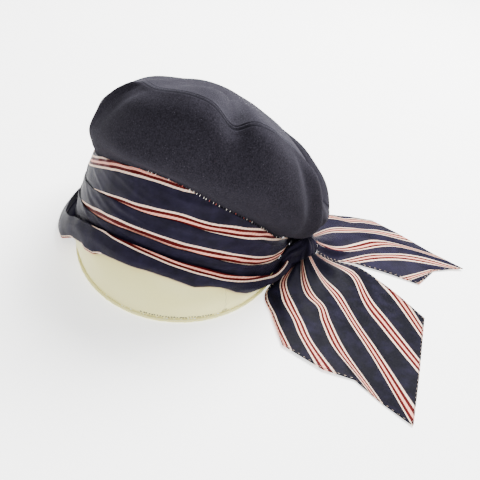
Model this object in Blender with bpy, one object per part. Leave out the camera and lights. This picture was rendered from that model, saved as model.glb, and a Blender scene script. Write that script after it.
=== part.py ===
"""Sailor cap: slouched wool crown, striped scarf wound round the band and knotted, short satin peak.

+X is the wearer's left, where the scarf is knotted, -Y the front, +Z up. Metres.
The cap rests on its peak's edge, the back of the scarf and the two tails, all on z = 0.
"""
import bpy
import bmesh
import numpy as np

# Head opening and headband
HEAD_HALF_WIDTH = 0.0840
HEAD_HALF_LENGTH = 0.0960
HEADBAND_WALL = 0.0020
BAND_CENTRE = (0.0040, -0.0010)
BAND_LEAN = (0.09, 0.10)
BAND_TAPER = (0.06, 0.05)
HEADBAND_TUCK = 0.0097

# Walls and clearances
WOOL_WALL = 0.0018
PEAK_WALL = 0.0022
TAIL_WALL = 0.0012
CLEARANCE = 0.0005
SEAM_GAP = 0.0005

# Heights of the scarf's folds round the band, as shares of SCARF_HEIGHT
SCARF_HEIGHT = 0.100
SCARF_COLUMNS = ("turn", "hem", "upper", "middle", "lower", "foot", "swell", "stand")
SCARF_ROWS = (
    (0, 0.280, 0.25, 0.215, 0.180, 0.010, 0.05, 0.10),
    (25, 0.350, 0.30, 0.240, 0.190, 0.000, 0.00, 0.05),
    (60, 0.460, 0.37, 0.280, 0.190, 0.000, 0.00, 0.00),
    (90, 0.520, 0.40, 0.290, 0.190, 0.000, 0.00, 0.00),
    (130, 0.560, 0.43, 0.310, 0.180, 0.000, 0.00, 0.10),
    (165, 0.630, 0.47, 0.330, 0.150, 0.000, 0.00, 0.40),
    (190, 0.710, 0.51, 0.360, 0.170, 0.000, 0.00, 0.50),
    (202, 0.790, 0.56, 0.400, 0.250, 0.050, 0.00, 0.40),
    (214, 0.860, 0.61, 0.440, 0.350, 0.180, 0.00, 0.15),
    (230, 0.940, 0.675, 0.495, 0.430, 0.260, 0.00, 0.00),
    (255, 1.000, 0.71, 0.545, 0.470, 0.310, 0.00, 0.00),
    (270, 0.975, 0.71, 0.520, 0.445, 0.300, 0.00, 0.00),
    (285, 0.900, 0.66, 0.475, 0.395, 0.250, 0.00, 0.00),
    (300, 0.785, 0.60, 0.400, 0.315, 0.190, 0.10, 0.05),
    (315, 0.625, 0.520, 0.320, 0.240, 0.090, 0.20, 0.25),
    (330, 0.440, 0.38, 0.250, 0.165, 0.065, 0.20, 0.35),
    (345, 0.310, 0.28, 0.230, 0.185, 0.085, 0.15, 0.25),
)
FOLD_STAND = 0.0100
BAND_SWELL = 0.0100
FOLD_DEPTH = 0.0100

# Cross-sections of the scarf: the two lines a point lies between, its share of the way down,
# and its depth outside the headband as a share of FOLD_DEPTH
BAND_PROFILE = (
    ("hem", "upper", 0.06, 0.00),
    ("hem", "upper", 0.03, 0.10),
    ("hem", "upper", 0.05, 0.24),
    ("hem", "upper", 0.55, 0.40),
    ("hem", "upper", 0.94, 0.30),
    ("hem", "upper", 1.00, 0.54),
    ("upper", "middle", 0.45, 0.60),
    ("upper", "middle", 0.93, 0.46),
    ("upper", "middle", 1.00, 0.68),
    ("middle", "lower", 1.00, 0.62),
    ("lower", "foot", 0.45, 0.40),
    ("lower", "foot", 0.50, 0.00),
    ("upper", "middle", 0.50, 0.00),
)
FOLD_PROFILE = (
    ("lower", "foot", 0.00, 0.88),
    ("lower", "foot", 0.20, 1.06),
    ("lower", "foot", 0.70, 1.12),
    ("lower", "foot", 0.99, 1.00),
    ("lower", "foot", 1.00, 0.86),
    ("lower", "foot", 0.70, 0.90),
    ("lower", "foot", 0.20, 0.84),
    ("lower", "foot", 0.03, 0.74),
)
FOLD_TURNS = (13.0, 347.0)

# Sections of the crown: how far out as shares of the crown's oval,
# how far above the scarf's hem as shares of CROWN_RISE
CROWN_RISE = 0.100
CROWN_FULLNESS = (0.003, 0.004)
CROWN_SHIFT = (0.001, 0.001)
CROWN_COLUMNS = ("turn", "low_out", "low_up", "belly_out", "belly_up",
                 "shoulder_out", "shoulder_up", "seam_out", "seam_up")
CROWN_ROWS = (
    (0, 1.22, 0.07, 1.36, 0.16, 1.28, 0.26, 1.17, 0.28),
    (20, 1.22, 0.08, 1.38, 0.16, 1.29, 0.29, 1.18, 0.33),
    (50, 1.15, 0.06, 1.25, 0.17, 1.19, 0.32, 1.07, 0.39),
    (90, 1.06, 0.05, 1.12, 0.18, 1.08, 0.38, 0.98, 0.46),
    (135, 1.00, 0.06, 1.05, 0.22, 1.00, 0.43, 0.88, 0.54),
    (172, 0.92, 0.07, 0.93, 0.25, 0.87, 0.44, 0.71, 0.51),
    (200, 0.88, 0.10, 0.90, 0.26, 0.78, 0.49, 0.58, 0.58),
    (225, 0.88, 0.11, 0.90, 0.28, 0.79, 0.49, 0.61, 0.59),
    (250, 0.94, 0.12, 0.96, 0.28, 0.88, 0.49, 0.73, 0.58),
    (275, 0.98, 0.13, 1.03, 0.31, 0.97, 0.56, 0.83, 0.68),
    (300, 1.02, 0.13, 1.10, 0.33, 1.05, 0.60, 0.94, 0.75),
    (320, 1.09, 0.14, 1.18, 0.36, 1.11, 0.66, 0.98, 0.80),
    (340, 1.14, 0.08, 1.27, 0.30, 1.19, 0.62, 1.05, 0.74),
)
CROWN_STEPS = (0.00, 0.14, 0.32, 0.56, 0.80, 1.00)
CROWN_HEM_TUCK = 0.0090
TIP_OFFSET = (0.013, -0.009, 0.014)
TIP_PUFF = 0.007
SIDE_SEAMS = (4.4, 172.0)
PINCH_TURN = 294.0
PINCH_SPREAD = 7.0
PINCH_DEPTH = 0.014
PINCH_WAY = (0.0, 0.35, -0.94)

# Peak: its edge lies on the floor along an oval
PEAK_SHIFT = 0.0020
PEAK_REACH = (0.0024, 0.0217)
PEAK_TURNS = (202.0, 335.0)
PEAK_BULGE = 0.0040
PEAK_ROOT_RISE = 0.0030
PEAK_ROOT_OUT = 0.0024
WELT_RADIUS = 0.0013

# Knot and tails
KNOT_TURN = -5.0
KNOT_HEIGHT = 0.0155
KNOT_RADII = (0.0115, 0.0160, 0.0120)
KNOT_CREASE = 0.0006
KNOT_SEAT = -0.0005
TAIL_LENGTH = 0.200
TAIL_COLUMNS = ("across", "root_turn", "root_climb", "shoulder_x", "shoulder_y",
                "middle_x", "middle_y", "end_x", "end_y")
NEAR_TAIL_ROWS = (
    (0.00, -118, -50, -0.13, -0.255, -0.10, -0.41, -0.05, -0.57),
    (0.19, -105, -30, -0.05, -0.285, 0.01, -0.46, 0.10, -0.66),
    (0.35, -90, -12, 0.03, -0.28, 0.11, -0.485, 0.215, -0.68),
    (0.50, -75, 0, 0.09, -0.255, 0.18, -0.49, 0.30, -0.765),
    (0.66, -58, 5, 0.145, -0.185, 0.255, -0.445, 0.405, -0.85),
    (0.83, -40, 5, 0.20, -0.065, 0.31, -0.275, 0.46, -0.565),
    (1.00, -22, 0, 0.225, 0.035, 0.375, -0.075, 0.515, -0.25),
)
FAR_TAIL_ROWS = (
    (0.00, 0, -5, 0.19, 0.08, 0.35, 0.06, 0.52, -0.015),
    (0.20, 9, 0, 0.215, 0.105, 0.41, 0.13, 0.60, 0.11),
    (0.33, 17, 5, 0.22, 0.125, 0.435, 0.175, 0.675, 0.145),
    (0.44, 25, 5, 0.225, 0.145, 0.45, 0.21, 0.74, 0.165),
    (0.72, 45, 5, 0.195, 0.235, 0.365, 0.30, 0.615, 0.245),
    (0.87, 60, 0, 0.15, 0.325, 0.29, 0.37, 0.465, 0.37),
    (1.00, 78, -10, 0.095, 0.375, 0.19, 0.435, 0.34, 0.455),
)
TAIL_STEPS = (0.00, 0.30, 0.65, 1.00)
TAIL_ROOT_CLEARANCE = 0.0012
TAIL_FALL = 0.30
TAIL_WAVE = 0.0030
NEAR_TAIL_WAVES = 3.0
FAR_TAIL_WAVES = 2.0

# How finely the surfaces are cut up
FRONT_CUTS = 32
BACK_CUTS = 24
WALL_CUTS = 13
TIP_CUTS = 8
PEAK_CUTS = 30
TAIL_CUTS = 12

NAVY_WOOL = (0.020, 0.020, 0.028, 1.0)
NAVY_SILK = (0.030, 0.028, 0.055, 1.0)
CREAM_SATIN = (0.82, 0.79, 0.62, 1.0)


def remove_everything():
    """Start from an empty scene."""
    for item in list(bpy.data.objects):
        bpy.data.objects.remove(item, do_unlink=True)


def column(rows, names, name):
    """One named column of a table as an array."""
    return np.array([row[names.index(name)] for row in rows], float)


def hermite(knots, values, at):
    """Smooth curve through values at knots; the slope at a knot is that of the line between its neighbours."""
    slopes = np.gradient(values, knots, axis=0)
    index = np.clip(np.searchsorted(knots, at, side="right") - 1, 0, len(knots) - 2)
    width = (knots[index + 1] - knots[index]).reshape((-1,) + (1,) * (values.ndim - 1))
    share = ((at - knots[index]) / (knots[index + 1] - knots[index])).reshape(width.shape)
    start = (2 * share ** 3 - 3 * share ** 2 + 1) * values[index]
    end = (3 * share ** 2 - 2 * share ** 3) * values[index + 1]
    lean_out = (share ** 3 - 2 * share ** 2 + share) * width * slopes[index]
    lean_in = (share ** 3 - share ** 2) * width * slopes[index + 1]
    return start + end + lean_out + lean_in


def round_column(rows, names, name, turns):
    """A table column read at any turn in degrees, closed smoothly round the cap."""
    knots = column(rows, names, "turn")
    values = column(rows, names, name)
    knots = np.concatenate([knots - 360.0, knots, knots + 360.0])
    values = np.tile(values, 3)
    return hermite(knots, values, np.asarray(turns, float) % 360.0)


def ring_turns():
    """Turns at which every round piece is cut: the back panel's first, then the front panel's."""
    back = np.linspace(SIDE_SEAMS[0], SIDE_SEAMS[1], BACK_CUTS, endpoint=False)
    front = np.linspace(SIDE_SEAMS[1], SIDE_SEAMS[0] + 360.0, FRONT_CUTS, endpoint=False)
    return np.concatenate([back, front])


def scarf_line(name, turns):
    """Height of one of the scarf's lines above the floor."""
    return SCARF_HEIGHT * np.maximum(round_column(SCARF_ROWS, SCARF_COLUMNS, name, turns), 0.0)


def band_point(turns, height, depth):
    """Point on the leaning, tapering oval of the headband, depth metres outside its outer face."""
    angle = np.radians(turns)
    half_width = HEAD_HALF_WIDTH + HEADBAND_WALL - BAND_TAPER[0] * height + depth
    half_length = HEAD_HALF_LENGTH + HEADBAND_WALL - BAND_TAPER[1] * height + depth
    x = BAND_CENTRE[0] + BAND_LEAN[0] * height + half_width * np.cos(angle)
    y = BAND_CENTRE[1] + BAND_LEAN[1] * height + half_length * np.sin(angle)
    return np.stack([x, y, height], axis=-1)


def crown_section(name, turns):
    """One section of the crown as a loop of points."""
    angle = np.radians(turns)
    out = round_column(CROWN_ROWS, CROWN_COLUMNS, name + "_out", turns)
    rise = CROWN_RISE * round_column(CROWN_ROWS, CROWN_COLUMNS, name + "_up", turns)
    half_width = HEAD_HALF_WIDTH + HEADBAND_WALL + CROWN_FULLNESS[0]
    half_length = HEAD_HALF_LENGTH + HEADBAND_WALL + CROWN_FULLNESS[1]
    x = BAND_CENTRE[0] + CROWN_SHIFT[0] + out * half_width * np.cos(angle)
    y = BAND_CENTRE[1] + CROWN_SHIFT[1] + out * half_length * np.sin(angle)
    return np.stack([x, y, scarf_line("hem", turns) + rise], axis=-1)


def crown_surface(turns):
    """Outer face of the whole crown: rows go from the hem up to the tip seam, then in to the tip's middle."""
    hem = scarf_line("hem", turns)
    knots = [
        band_point(turns, hem - CROWN_HEM_TUCK, 0.0),
        band_point(turns, hem + CLEARANCE, 0.0),
        crown_section("low", turns),
        crown_section("belly", turns),
        crown_section("shoulder", turns),
        crown_section("seam", turns),
    ]
    levels = np.concatenate([[0.0], np.linspace(CROWN_STEPS[1], 1.0, WALL_CUTS)])
    wall = hermite(np.array(CROWN_STEPS), np.array(knots), levels)
    near = np.exp(-((turns - PINCH_TURN) / PINCH_SPREAD) ** 2)
    reach = PINCH_DEPTH * near * levels[:, None] ** 4
    wall = wall + reach[..., None] * np.array(PINCH_WAY)
    shares = np.linspace(0.0, 1.0, TIP_CUTS + 1)[1:, None, None]
    middle = crown_section("seam", np.arange(0.0, 360.0, 22.5)).mean(axis=0) + np.array(TIP_OFFSET)
    tip = wall[-1] + (middle - wall[-1]) * shares
    tip[..., 2] += TIP_PUFF * 4 * (shares * (1 - shares))[..., 0]
    return np.concatenate([wall, tip])


def outward_normals(grid, wrap):
    """Unit normals of a grid of points, whose columns close up when wrap is set."""
    padded = np.concatenate([grid[:, -1:], grid, grid[:, :1]], axis=1) if wrap else grid
    along = np.gradient(padded, axis=0)
    across = np.gradient(padded, axis=1)
    normals = np.cross(across, along)
    if wrap:
        normals = normals[:, 1:-1]
    size = np.linalg.norm(normals, axis=-1, keepdims=True)
    return normals / np.maximum(size, 1e-12)


def draw_back(grid, distance):
    """Move a grid's first row toward its second by distance."""
    step = grid[1] - grid[0]
    moved = grid.copy()
    moved[0] += step * distance / np.linalg.norm(step, axis=-1, keepdims=True)
    return moved


def material(name, colour, roughness):
    """A plain material with its own base colour."""
    made = bpy.data.materials.new(name)
    made.use_nodes = True
    surface = made.node_tree.nodes["Principled BSDF"]
    surface.inputs["Base Color"].default_value = colour
    surface.inputs["Roughness"].default_value = roughness
    return made


def add_body(name, points, faces, made_of):
    """Make one closed, smooth-shaded body whose faces point outward."""
    mesh = bpy.data.meshes.new(name)
    mesh.from_pydata([tuple(point) for point in points], [], faces)
    work = bmesh.new()
    work.from_mesh(mesh)
    bmesh.ops.remove_doubles(work, verts=work.verts, dist=1e-6)
    bmesh.ops.triangulate(work, faces=work.faces)
    bmesh.ops.recalc_face_normals(work, faces=work.faces)
    if work.calc_volume(signed=True) < 0:
        bmesh.ops.reverse_faces(work, faces=work.faces)
    for face in work.faces:
        face.smooth = True
    work.to_mesh(mesh)
    work.free()
    mesh.materials.append(made_of)
    body = bpy.data.objects.new(name, mesh)
    bpy.context.scene.collection.objects.link(body)
    return body


def grid_faces(rows, columns, start, wrap, turned):
    """Four-sided faces of a grid whose points are numbered from start."""
    faces = []
    for row in range(rows - 1):
        for step in range(columns if wrap else columns - 1):
            after = (step + 1) % columns
            low = start + row * columns
            high = low + columns
            face = (low + step, low + after, high + after, high + step)
            faces.append(face[::-1] if turned else face)
    return faces


def add_shell(name, outer, inner, wrap, made_of, closed_top=False):
    """A cloth wall between an outer and an inner grid, with its open edges closed."""
    rows, columns = outer.shape[:2]
    points = np.concatenate([outer.reshape(-1, 3), inner.reshape(-1, 3)])
    inside = rows * columns
    faces = grid_faces(rows, columns, 0, wrap, False)
    faces += grid_faces(rows, columns, inside, wrap, True)
    last = (rows - 1) * columns
    for step in range(columns if wrap else columns - 1):
        after = (step + 1) % columns
        faces.append((step, inside + step, inside + after, after))
        if not closed_top:
            faces.append((last + step, last + after, inside + last + after, inside + last + step))
    if not wrap:
        for row in range(rows - 1):
            low = row * columns
            high = low + columns
            faces.append((low, high, inside + high, inside + low))
            end = low + columns - 1
            far = high + columns - 1
            faces.append((end, inside + end, inside + far, far))
    return add_body(name, points, faces, made_of)


def add_ring(name, loops, wrap, made_of):
    """A solid swept through closed cross-sections, closed round the cap or capped at both ends."""
    count, sides = loops.shape[:2]
    faces = []
    for row in range(count if wrap else count - 1):
        low = row * sides
        high = ((row + 1) % count) * sides
        for step in range(sides):
            after = (step + 1) % sides
            faces.append((low + step, low + after, high + after, high + step))
    if not wrap:
        faces.append(tuple(range(sides)))
        faces.append(tuple((count - 1) * sides + step for step in range(sides)))
    return add_body(name, loops.reshape(-1, 3), faces, made_of)


def scarf_loops(profile, turns, base, push):
    """Cross-sections of a wound part of the scarf: base metres off the headband, pushed out by push."""
    loops = []
    for above, below, share, depth in profile:
        height = (1 - share) * scarf_line(above, turns) + share * scarf_line(below, turns)
        loops.append(band_point(turns, height, base + FOLD_DEPTH * depth + push * (depth > 0)))
    return np.stack(loops, axis=1)


def build_headband(wool):
    """Plain oval band; its lower edge follows the scarf's foot, its upper edge stays below the crown's hem."""
    turns = ring_turns()
    low = scarf_line("foot", turns) + 2 * CLEARANCE
    high = scarf_line("hem", turns) - HEADBAND_TUCK
    heights = np.linspace(0.0, 1.0, 3)[:, None] * (high - low) + low
    outer = np.array([band_point(turns, height, 0.0) for height in heights])
    inner = np.array([band_point(turns, height, -HEADBAND_WALL) for height in heights])
    add_shell("headband", outer, inner, True, wool)


def build_crown(wool):
    """Front, back and tip panels, cut from one surface along the tip seam and the two side seams."""
    turns = ring_turns()
    outer = crown_surface(turns)
    inner = outer - WOOL_WALL * outward_normals(outer, True)
    inner[-1] = inner[-2].mean(axis=0)
    inner[-1, :, 2] = outer[-1, :, 2] - WOOL_WALL
    seam = WALL_CUTS
    for name, first, last in (("crown_back", 0, BACK_CUTS), ("crown_front", BACK_CUTS, len(turns))):
        picks = np.arange(first, last + 1) % len(turns)
        faces = []
        for grid in (outer, inner):
            panel = grid[:seam + 1, picks]
            sideways = np.swapaxes(panel, 0, 1)
            sideways = draw_back(sideways, SEAM_GAP / 2)
            sideways = draw_back(sideways[::-1], SEAM_GAP / 2)[::-1]
            faces.append(np.swapaxes(sideways, 0, 1))
        add_shell(name, faces[0], faces[1], False, wool)
    add_shell("crown_tip", draw_back(outer[seam:], SEAM_GAP), draw_back(inner[seam:], SEAM_GAP),
              True, wool, closed_top=True)


def build_scarf(silk):
    """The wound folds of the scarf and the loose lowest fold."""
    turns = ring_turns()
    swell = BAND_SWELL * round_column(SCARF_ROWS, SCARF_COLUMNS, "swell", turns)
    add_ring("scarf_band", scarf_loops(BAND_PROFILE, turns, CLEARANCE, swell), True, silk)
    turns = ring_turns()
    turns = np.sort(turns % 360.0)
    inside = turns[(turns > FOLD_TURNS[0] + 2) & (turns < FOLD_TURNS[1] - 2)]
    turns = np.concatenate([FOLD_TURNS[:1], inside, FOLD_TURNS[1:]])
    stand = FOLD_STAND * round_column(SCARF_ROWS, SCARF_COLUMNS, "stand", turns)
    add_ring("scarf_lower_fold", scarf_loops(FOLD_PROFILE, turns, CLEARANCE, stand), False, silk)


def knot_centre():
    """Middle of the knot, seated on the outermost fold of the scarf at KNOT_TURN."""
    turn = np.array([KNOT_TURN])
    deepest = max(depth for above, below, share, depth in BAND_PROFILE)
    swell = BAND_SWELL * round_column(SCARF_ROWS, SCARF_COLUMNS, "swell", turn)
    seat = band_point(turn, np.array([KNOT_HEIGHT]), CLEARANCE + FOLD_DEPTH * deepest + swell)[0]
    return seat + np.array([KNOT_RADII[0] + KNOT_CREASE + KNOT_SEAT, 0.0, 0.0])


def build_knot(silk):
    """The knot: a squashed ball with shallow creases running over it."""
    around = np.linspace(0.0, 2 * np.pi, 20, endpoint=False)
    levels = np.linspace(0.0, np.pi, 11)[:, None]
    crease = 1 - KNOT_CREASE / KNOT_RADII[0] * np.cos(5 * around)[None, :]
    centre = knot_centre()
    x = centre[0] + KNOT_RADII[0] * np.sin(levels) * np.cos(around) * crease
    y = centre[1] + KNOT_RADII[1] * np.sin(levels) * np.sin(around) * crease
    z = centre[2] + KNOT_RADII[2] * np.cos(levels) * np.ones_like(around)
    points = np.stack([x, y, z], axis=-1)
    faces = grid_faces(len(levels), len(around), 0, True, False)
    add_body("scarf_knot", points.reshape(-1, 3), faces, silk)


def tail_root(rows):
    """Where a tail leaves the knot: just clear of its surface, at the table's turns and climbs."""
    turn = np.radians(column(rows, TAIL_COLUMNS, "root_turn"))
    climb = np.radians(column(rows, TAIL_COLUMNS, "root_climb"))
    way = np.stack([np.cos(turn) * np.cos(climb), np.sin(turn) * np.cos(climb), np.sin(climb)], axis=-1)
    return knot_centre() + (np.array(KNOT_RADII) + TAIL_ROOT_CLEARANCE) * way


def tail_points(rows, waves):
    """Underside of a tail: flat size from the table, raised at the knot and lying in soft waves."""
    knots = column(rows, TAIL_COLUMNS, "across")
    last = len(rows) - 1
    across = np.interp(np.linspace(0, last, TAIL_CUTS + 1), np.arange(last + 1), knots)
    along = np.linspace(0.0, 1.0, TAIL_CUTS + 1)
    root = hermite(knots, tail_root(rows), across)
    start = knot_centre()
    sections = [root[:, :2]]
    for part in ("shoulder", "middle", "end"):
        x = start[0] + TAIL_LENGTH * column(rows, TAIL_COLUMNS, part + "_x")
        y = start[1] + TAIL_LENGTH * column(rows, TAIL_COLUMNS, part + "_y")
        soft = hermite(knots, np.stack([x, y], axis=-1), across)
        sharp = np.stack([np.interp(across, knots, x), np.interp(across, knots, y)], axis=-1)
        sections.append(sharp if part == "end" else soft)
    plan = hermite(np.array(TAIL_STEPS), np.array(sections), along)
    fall = np.clip(1 - along / TAIL_FALL, 0.0, 1.0)[:, None] ** 2
    wave = 0.5 - 0.5 * np.cos(2 * np.pi * waves * across)
    fade = np.clip(1.2 * (1 - along), 0.0, 1.0)[:, None]
    height = root[:, 2] * fall + TAIL_WAVE * wave * fade * (1 - fall)
    return np.concatenate([plan, height[..., None]], axis=-1)


def build_tail(name, rows, waves, silk):
    """One tail of the scarf as a thin cloth wall."""
    under = tail_points(rows, waves)
    normals = outward_normals(under, False)
    normals *= np.sign(normals[..., 2:3] + 1e-9)
    add_shell(name, under + TAIL_WALL * normals, under, False, silk)


def build_peak(satin):
    """The peak slants from under the scarf down to the floor; a rolled lip runs along its edge."""
    turns = np.linspace(PEAK_TURNS[0], PEAK_TURNS[1], PEAK_CUTS + 1)
    angle = np.radians(turns)
    root = band_point(turns, scarf_line("foot", turns) + PEAK_ROOT_RISE, PEAK_ROOT_OUT)
    half_width = HEAD_HALF_WIDTH + PEAK_REACH[0]
    half_length = HEAD_HALF_LENGTH + PEAK_REACH[1]
    edge_x = BAND_CENTRE[0] + PEAK_SHIFT + half_width * np.cos(angle)
    edge_y = BAND_CENTRE[1] + half_length * np.sin(angle)
    edge = np.stack([edge_x, edge_y, np.full_like(angle, WELT_RADIUS)], axis=-1)
    outward = np.stack([np.cos(angle) / half_width, np.sin(angle) / half_length, 0 * angle], axis=-1)
    outward /= np.linalg.norm(outward, axis=-1, keepdims=True)
    brim = edge - outward * (WELT_RADIUS + 2 * CLEARANCE + PEAK_WALL / 2)
    shares = np.linspace(0.0, 1.0, 6)[:, None, None]
    under = root + (brim - root) * shares
    bulge = np.array([0.0, 0.0, 0.6]) + 0.8 * outward
    under = under + PEAK_BULGE * 4 * shares * (1 - shares) * bulge
    normals = outward_normals(under, False)
    facing = np.sign((normals * (outward + np.array([0.0, 0.0, 1.0]))).sum(axis=-1, keepdims=True))
    add_shell("peak", under + PEAK_WALL / 2 * normals * facing,
              under - PEAK_WALL / 2 * normals * facing, False, satin)
    around = np.linspace(0.0, 2 * np.pi, 8, endpoint=False)[:, None]
    ring = np.cos(around)[None] * outward[:, None] + np.sin(around)[None] * np.array([0.0, 0.0, 1.0])
    add_ring("peak_welt", edge[:, None] + WELT_RADIUS * ring, False, satin)


def centre_on_floor():
    """Move everything so that the origin is the middle of the cap's footprint, on the floor."""
    bodies = list(bpy.context.scene.collection.objects)
    points = np.array([tuple(vertex.co) for body in bodies for vertex in body.data.vertices])
    low = points.min(axis=0)
    high = points.max(axis=0)
    shift = np.array([-(low[0] + high[0]) / 2, -(low[1] + high[1]) / 2, -low[2]])
    for body in bodies:
        for vertex in body.data.vertices:
            vertex.co = tuple(np.array(vertex.co) + shift)
        body.data.update()


remove_everything()
wool = material("navy_wool", NAVY_WOOL, 0.95)
silk = material("navy_silk", NAVY_SILK, 0.45)
satin = material("cream_satin", CREAM_SATIN, 0.40)
build_headband(wool)
build_crown(wool)
build_scarf(silk)
build_knot(silk)
build_tail("scarf_tail_near", NEAR_TAIL_ROWS, NEAR_TAIL_WAVES, silk)
build_tail("scarf_tail_far", FAR_TAIL_ROWS, FAR_TAIL_WAVES, silk)
build_peak(satin)
centre_on_floor()
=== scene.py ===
"""Sailor cap at rest: slouched wool crown, striped silk scarf, knot, two tails and satin peak.

Every shape repeats the part's own tables in metres, then adds seams, folds, stitches and weave.
"""
import bpy
import bmesh
import math
import numpy as np
from mathutils import Matrix, Vector


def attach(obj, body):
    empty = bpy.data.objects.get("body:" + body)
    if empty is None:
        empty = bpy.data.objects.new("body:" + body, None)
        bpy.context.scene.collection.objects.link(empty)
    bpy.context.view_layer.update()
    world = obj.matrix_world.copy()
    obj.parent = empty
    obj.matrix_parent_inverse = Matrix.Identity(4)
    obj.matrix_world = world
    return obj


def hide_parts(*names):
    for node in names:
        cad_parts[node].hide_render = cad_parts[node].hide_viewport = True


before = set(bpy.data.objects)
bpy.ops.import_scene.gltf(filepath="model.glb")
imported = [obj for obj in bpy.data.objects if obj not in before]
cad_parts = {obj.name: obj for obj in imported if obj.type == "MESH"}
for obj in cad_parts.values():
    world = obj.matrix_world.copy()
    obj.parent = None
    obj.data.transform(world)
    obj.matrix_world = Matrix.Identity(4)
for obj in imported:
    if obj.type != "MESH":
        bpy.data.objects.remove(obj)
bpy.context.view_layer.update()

# Where the middle of the head opening's own axes lies in the part's frame
CAP_PLACE = np.array([-0.08058, 0.03167, 0.0])
UP = np.array([0.0, 0.0, 1.0])

# Cloth with no tail hem near it: far from a rim, and not along one
INNER_CLOTH = {"rim": 1.0, "run": 0.0}

# Head opening and headband; pairs go across the cap, then along it
HEAD_HALVES = (0.0840, 0.0960)
HEADBAND_WALL = 0.0020
BAND_CENTRE = (0.0040, -0.0010)
BAND_LEAN = (0.09, 0.10)
BAND_TAPER = (0.06, 0.05)
HEADBAND_TUCK = 0.0097
HEADBAND_INSET = 0.0001
CLEARANCE = 0.0005
WELD = 1e-6
WOOL_WALL = 0.0018
TAIL_WALL = 0.0007

# Heights of the scarf's folds round the band, as shares of SCARF_HEIGHT
SCARF_HEIGHT = 0.100
SCARF_COLUMNS = ("turn", "hem", "upper", "middle", "lower", "foot", "swell", "stand")
SCARF_ROWS = (
    (0, 0.280, 0.25, 0.215, 0.180, 0.010, 0.05, 0.10),
    (25, 0.350, 0.30, 0.240, 0.190, 0.000, 0.00, 0.05),
    (60, 0.460, 0.37, 0.280, 0.190, 0.000, 0.00, 0.00),
    (90, 0.520, 0.40, 0.290, 0.190, 0.000, 0.00, 0.00),
    (130, 0.560, 0.43, 0.310, 0.180, 0.000, 0.00, 0.10),
    (165, 0.630, 0.47, 0.330, 0.150, 0.000, 0.00, 0.40),
    (190, 0.710, 0.51, 0.360, 0.170, 0.000, 0.00, 0.50),
    (202, 0.790, 0.56, 0.400, 0.250, 0.050, 0.00, 0.40),
    (214, 0.860, 0.61, 0.440, 0.350, 0.180, 0.00, 0.15),
    (230, 0.940, 0.675, 0.495, 0.430, 0.260, 0.00, 0.00),
    (255, 1.000, 0.71, 0.545, 0.470, 0.310, 0.00, 0.00),
    (270, 0.975, 0.71, 0.520, 0.445, 0.300, 0.00, 0.00),
    (285, 0.900, 0.66, 0.475, 0.395, 0.250, 0.00, 0.00),
    (300, 0.785, 0.60, 0.400, 0.315, 0.190, 0.10, 0.05),
    (315, 0.625, 0.520, 0.320, 0.240, 0.090, 0.20, 0.25),
    (330, 0.440, 0.38, 0.250, 0.165, 0.065, 0.20, 0.35),
    (345, 0.310, 0.28, 0.230, 0.185, 0.085, 0.15, 0.25),
)
FOLD_STAND = 0.0100
BAND_SWELL = 0.0100
FOLD_TURNS = (13.0, 347.0)
HEM_DROP = 0.0038
HEM_DROP_TURN = 292.0
HEM_DROP_SPREAD = 26.0
TURN_UNDER_START = 0.0036
TURN_UNDER_WALL = 0.0012
TURN_UNDER_RISE = 0.30
TURN_UNDER_SAG = 0.0015

# Wound strips: wall, depths outside the band at the top, middle and foot of the face, random seed
FIRST_STRIP = (0.0010, (0.0024, 0.0042, 0.0030), 21)
SECOND_STRIP = (0.0013, (0.0052, 0.0060, 0.0048), 22)
THIRD_STRIP = (0.0013, (0.0068, 0.0072, 0.0050), 23)
STRIP_UNDERLAP = 0.45
PULL_SHADE = 0.165
BAND_RADIUS = 0.095
STRIP_INNER = 0.0007
STRIP_DEPTH_MIN = 0.0004
RIPPLE = 0.0003
RIPPLE_HEIGHT = 0.010
PULL_HEIGHT = 0.0075
PULL_SLANT = 0.012
PULL_FROM = 0.2
PULL_OUT = 0.00038

# Loose lowest fold
FOLD_WALL = 0.0014
FOLD_DEPTHS = (0.0092, 0.0116, 0.0104)
FOLD_RIPPLE_HEIGHT = 0.012
FOLD_REACH = 0.0085
FOLD_RADIUS = 0.1
FLOOR_CLEARANCE = 0.0002

# How many steps each piece is cut into round the cap or along itself
BACK_CUTS = 270
FRONT_CUTS = 350
TIP_CUTS = 520
HEADBAND_CUTS = 240
BAND_CUTS = 500
FOLD_CUTS = 520
TAIL_CUTS = 140
WELT_CUTS = 420

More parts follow.
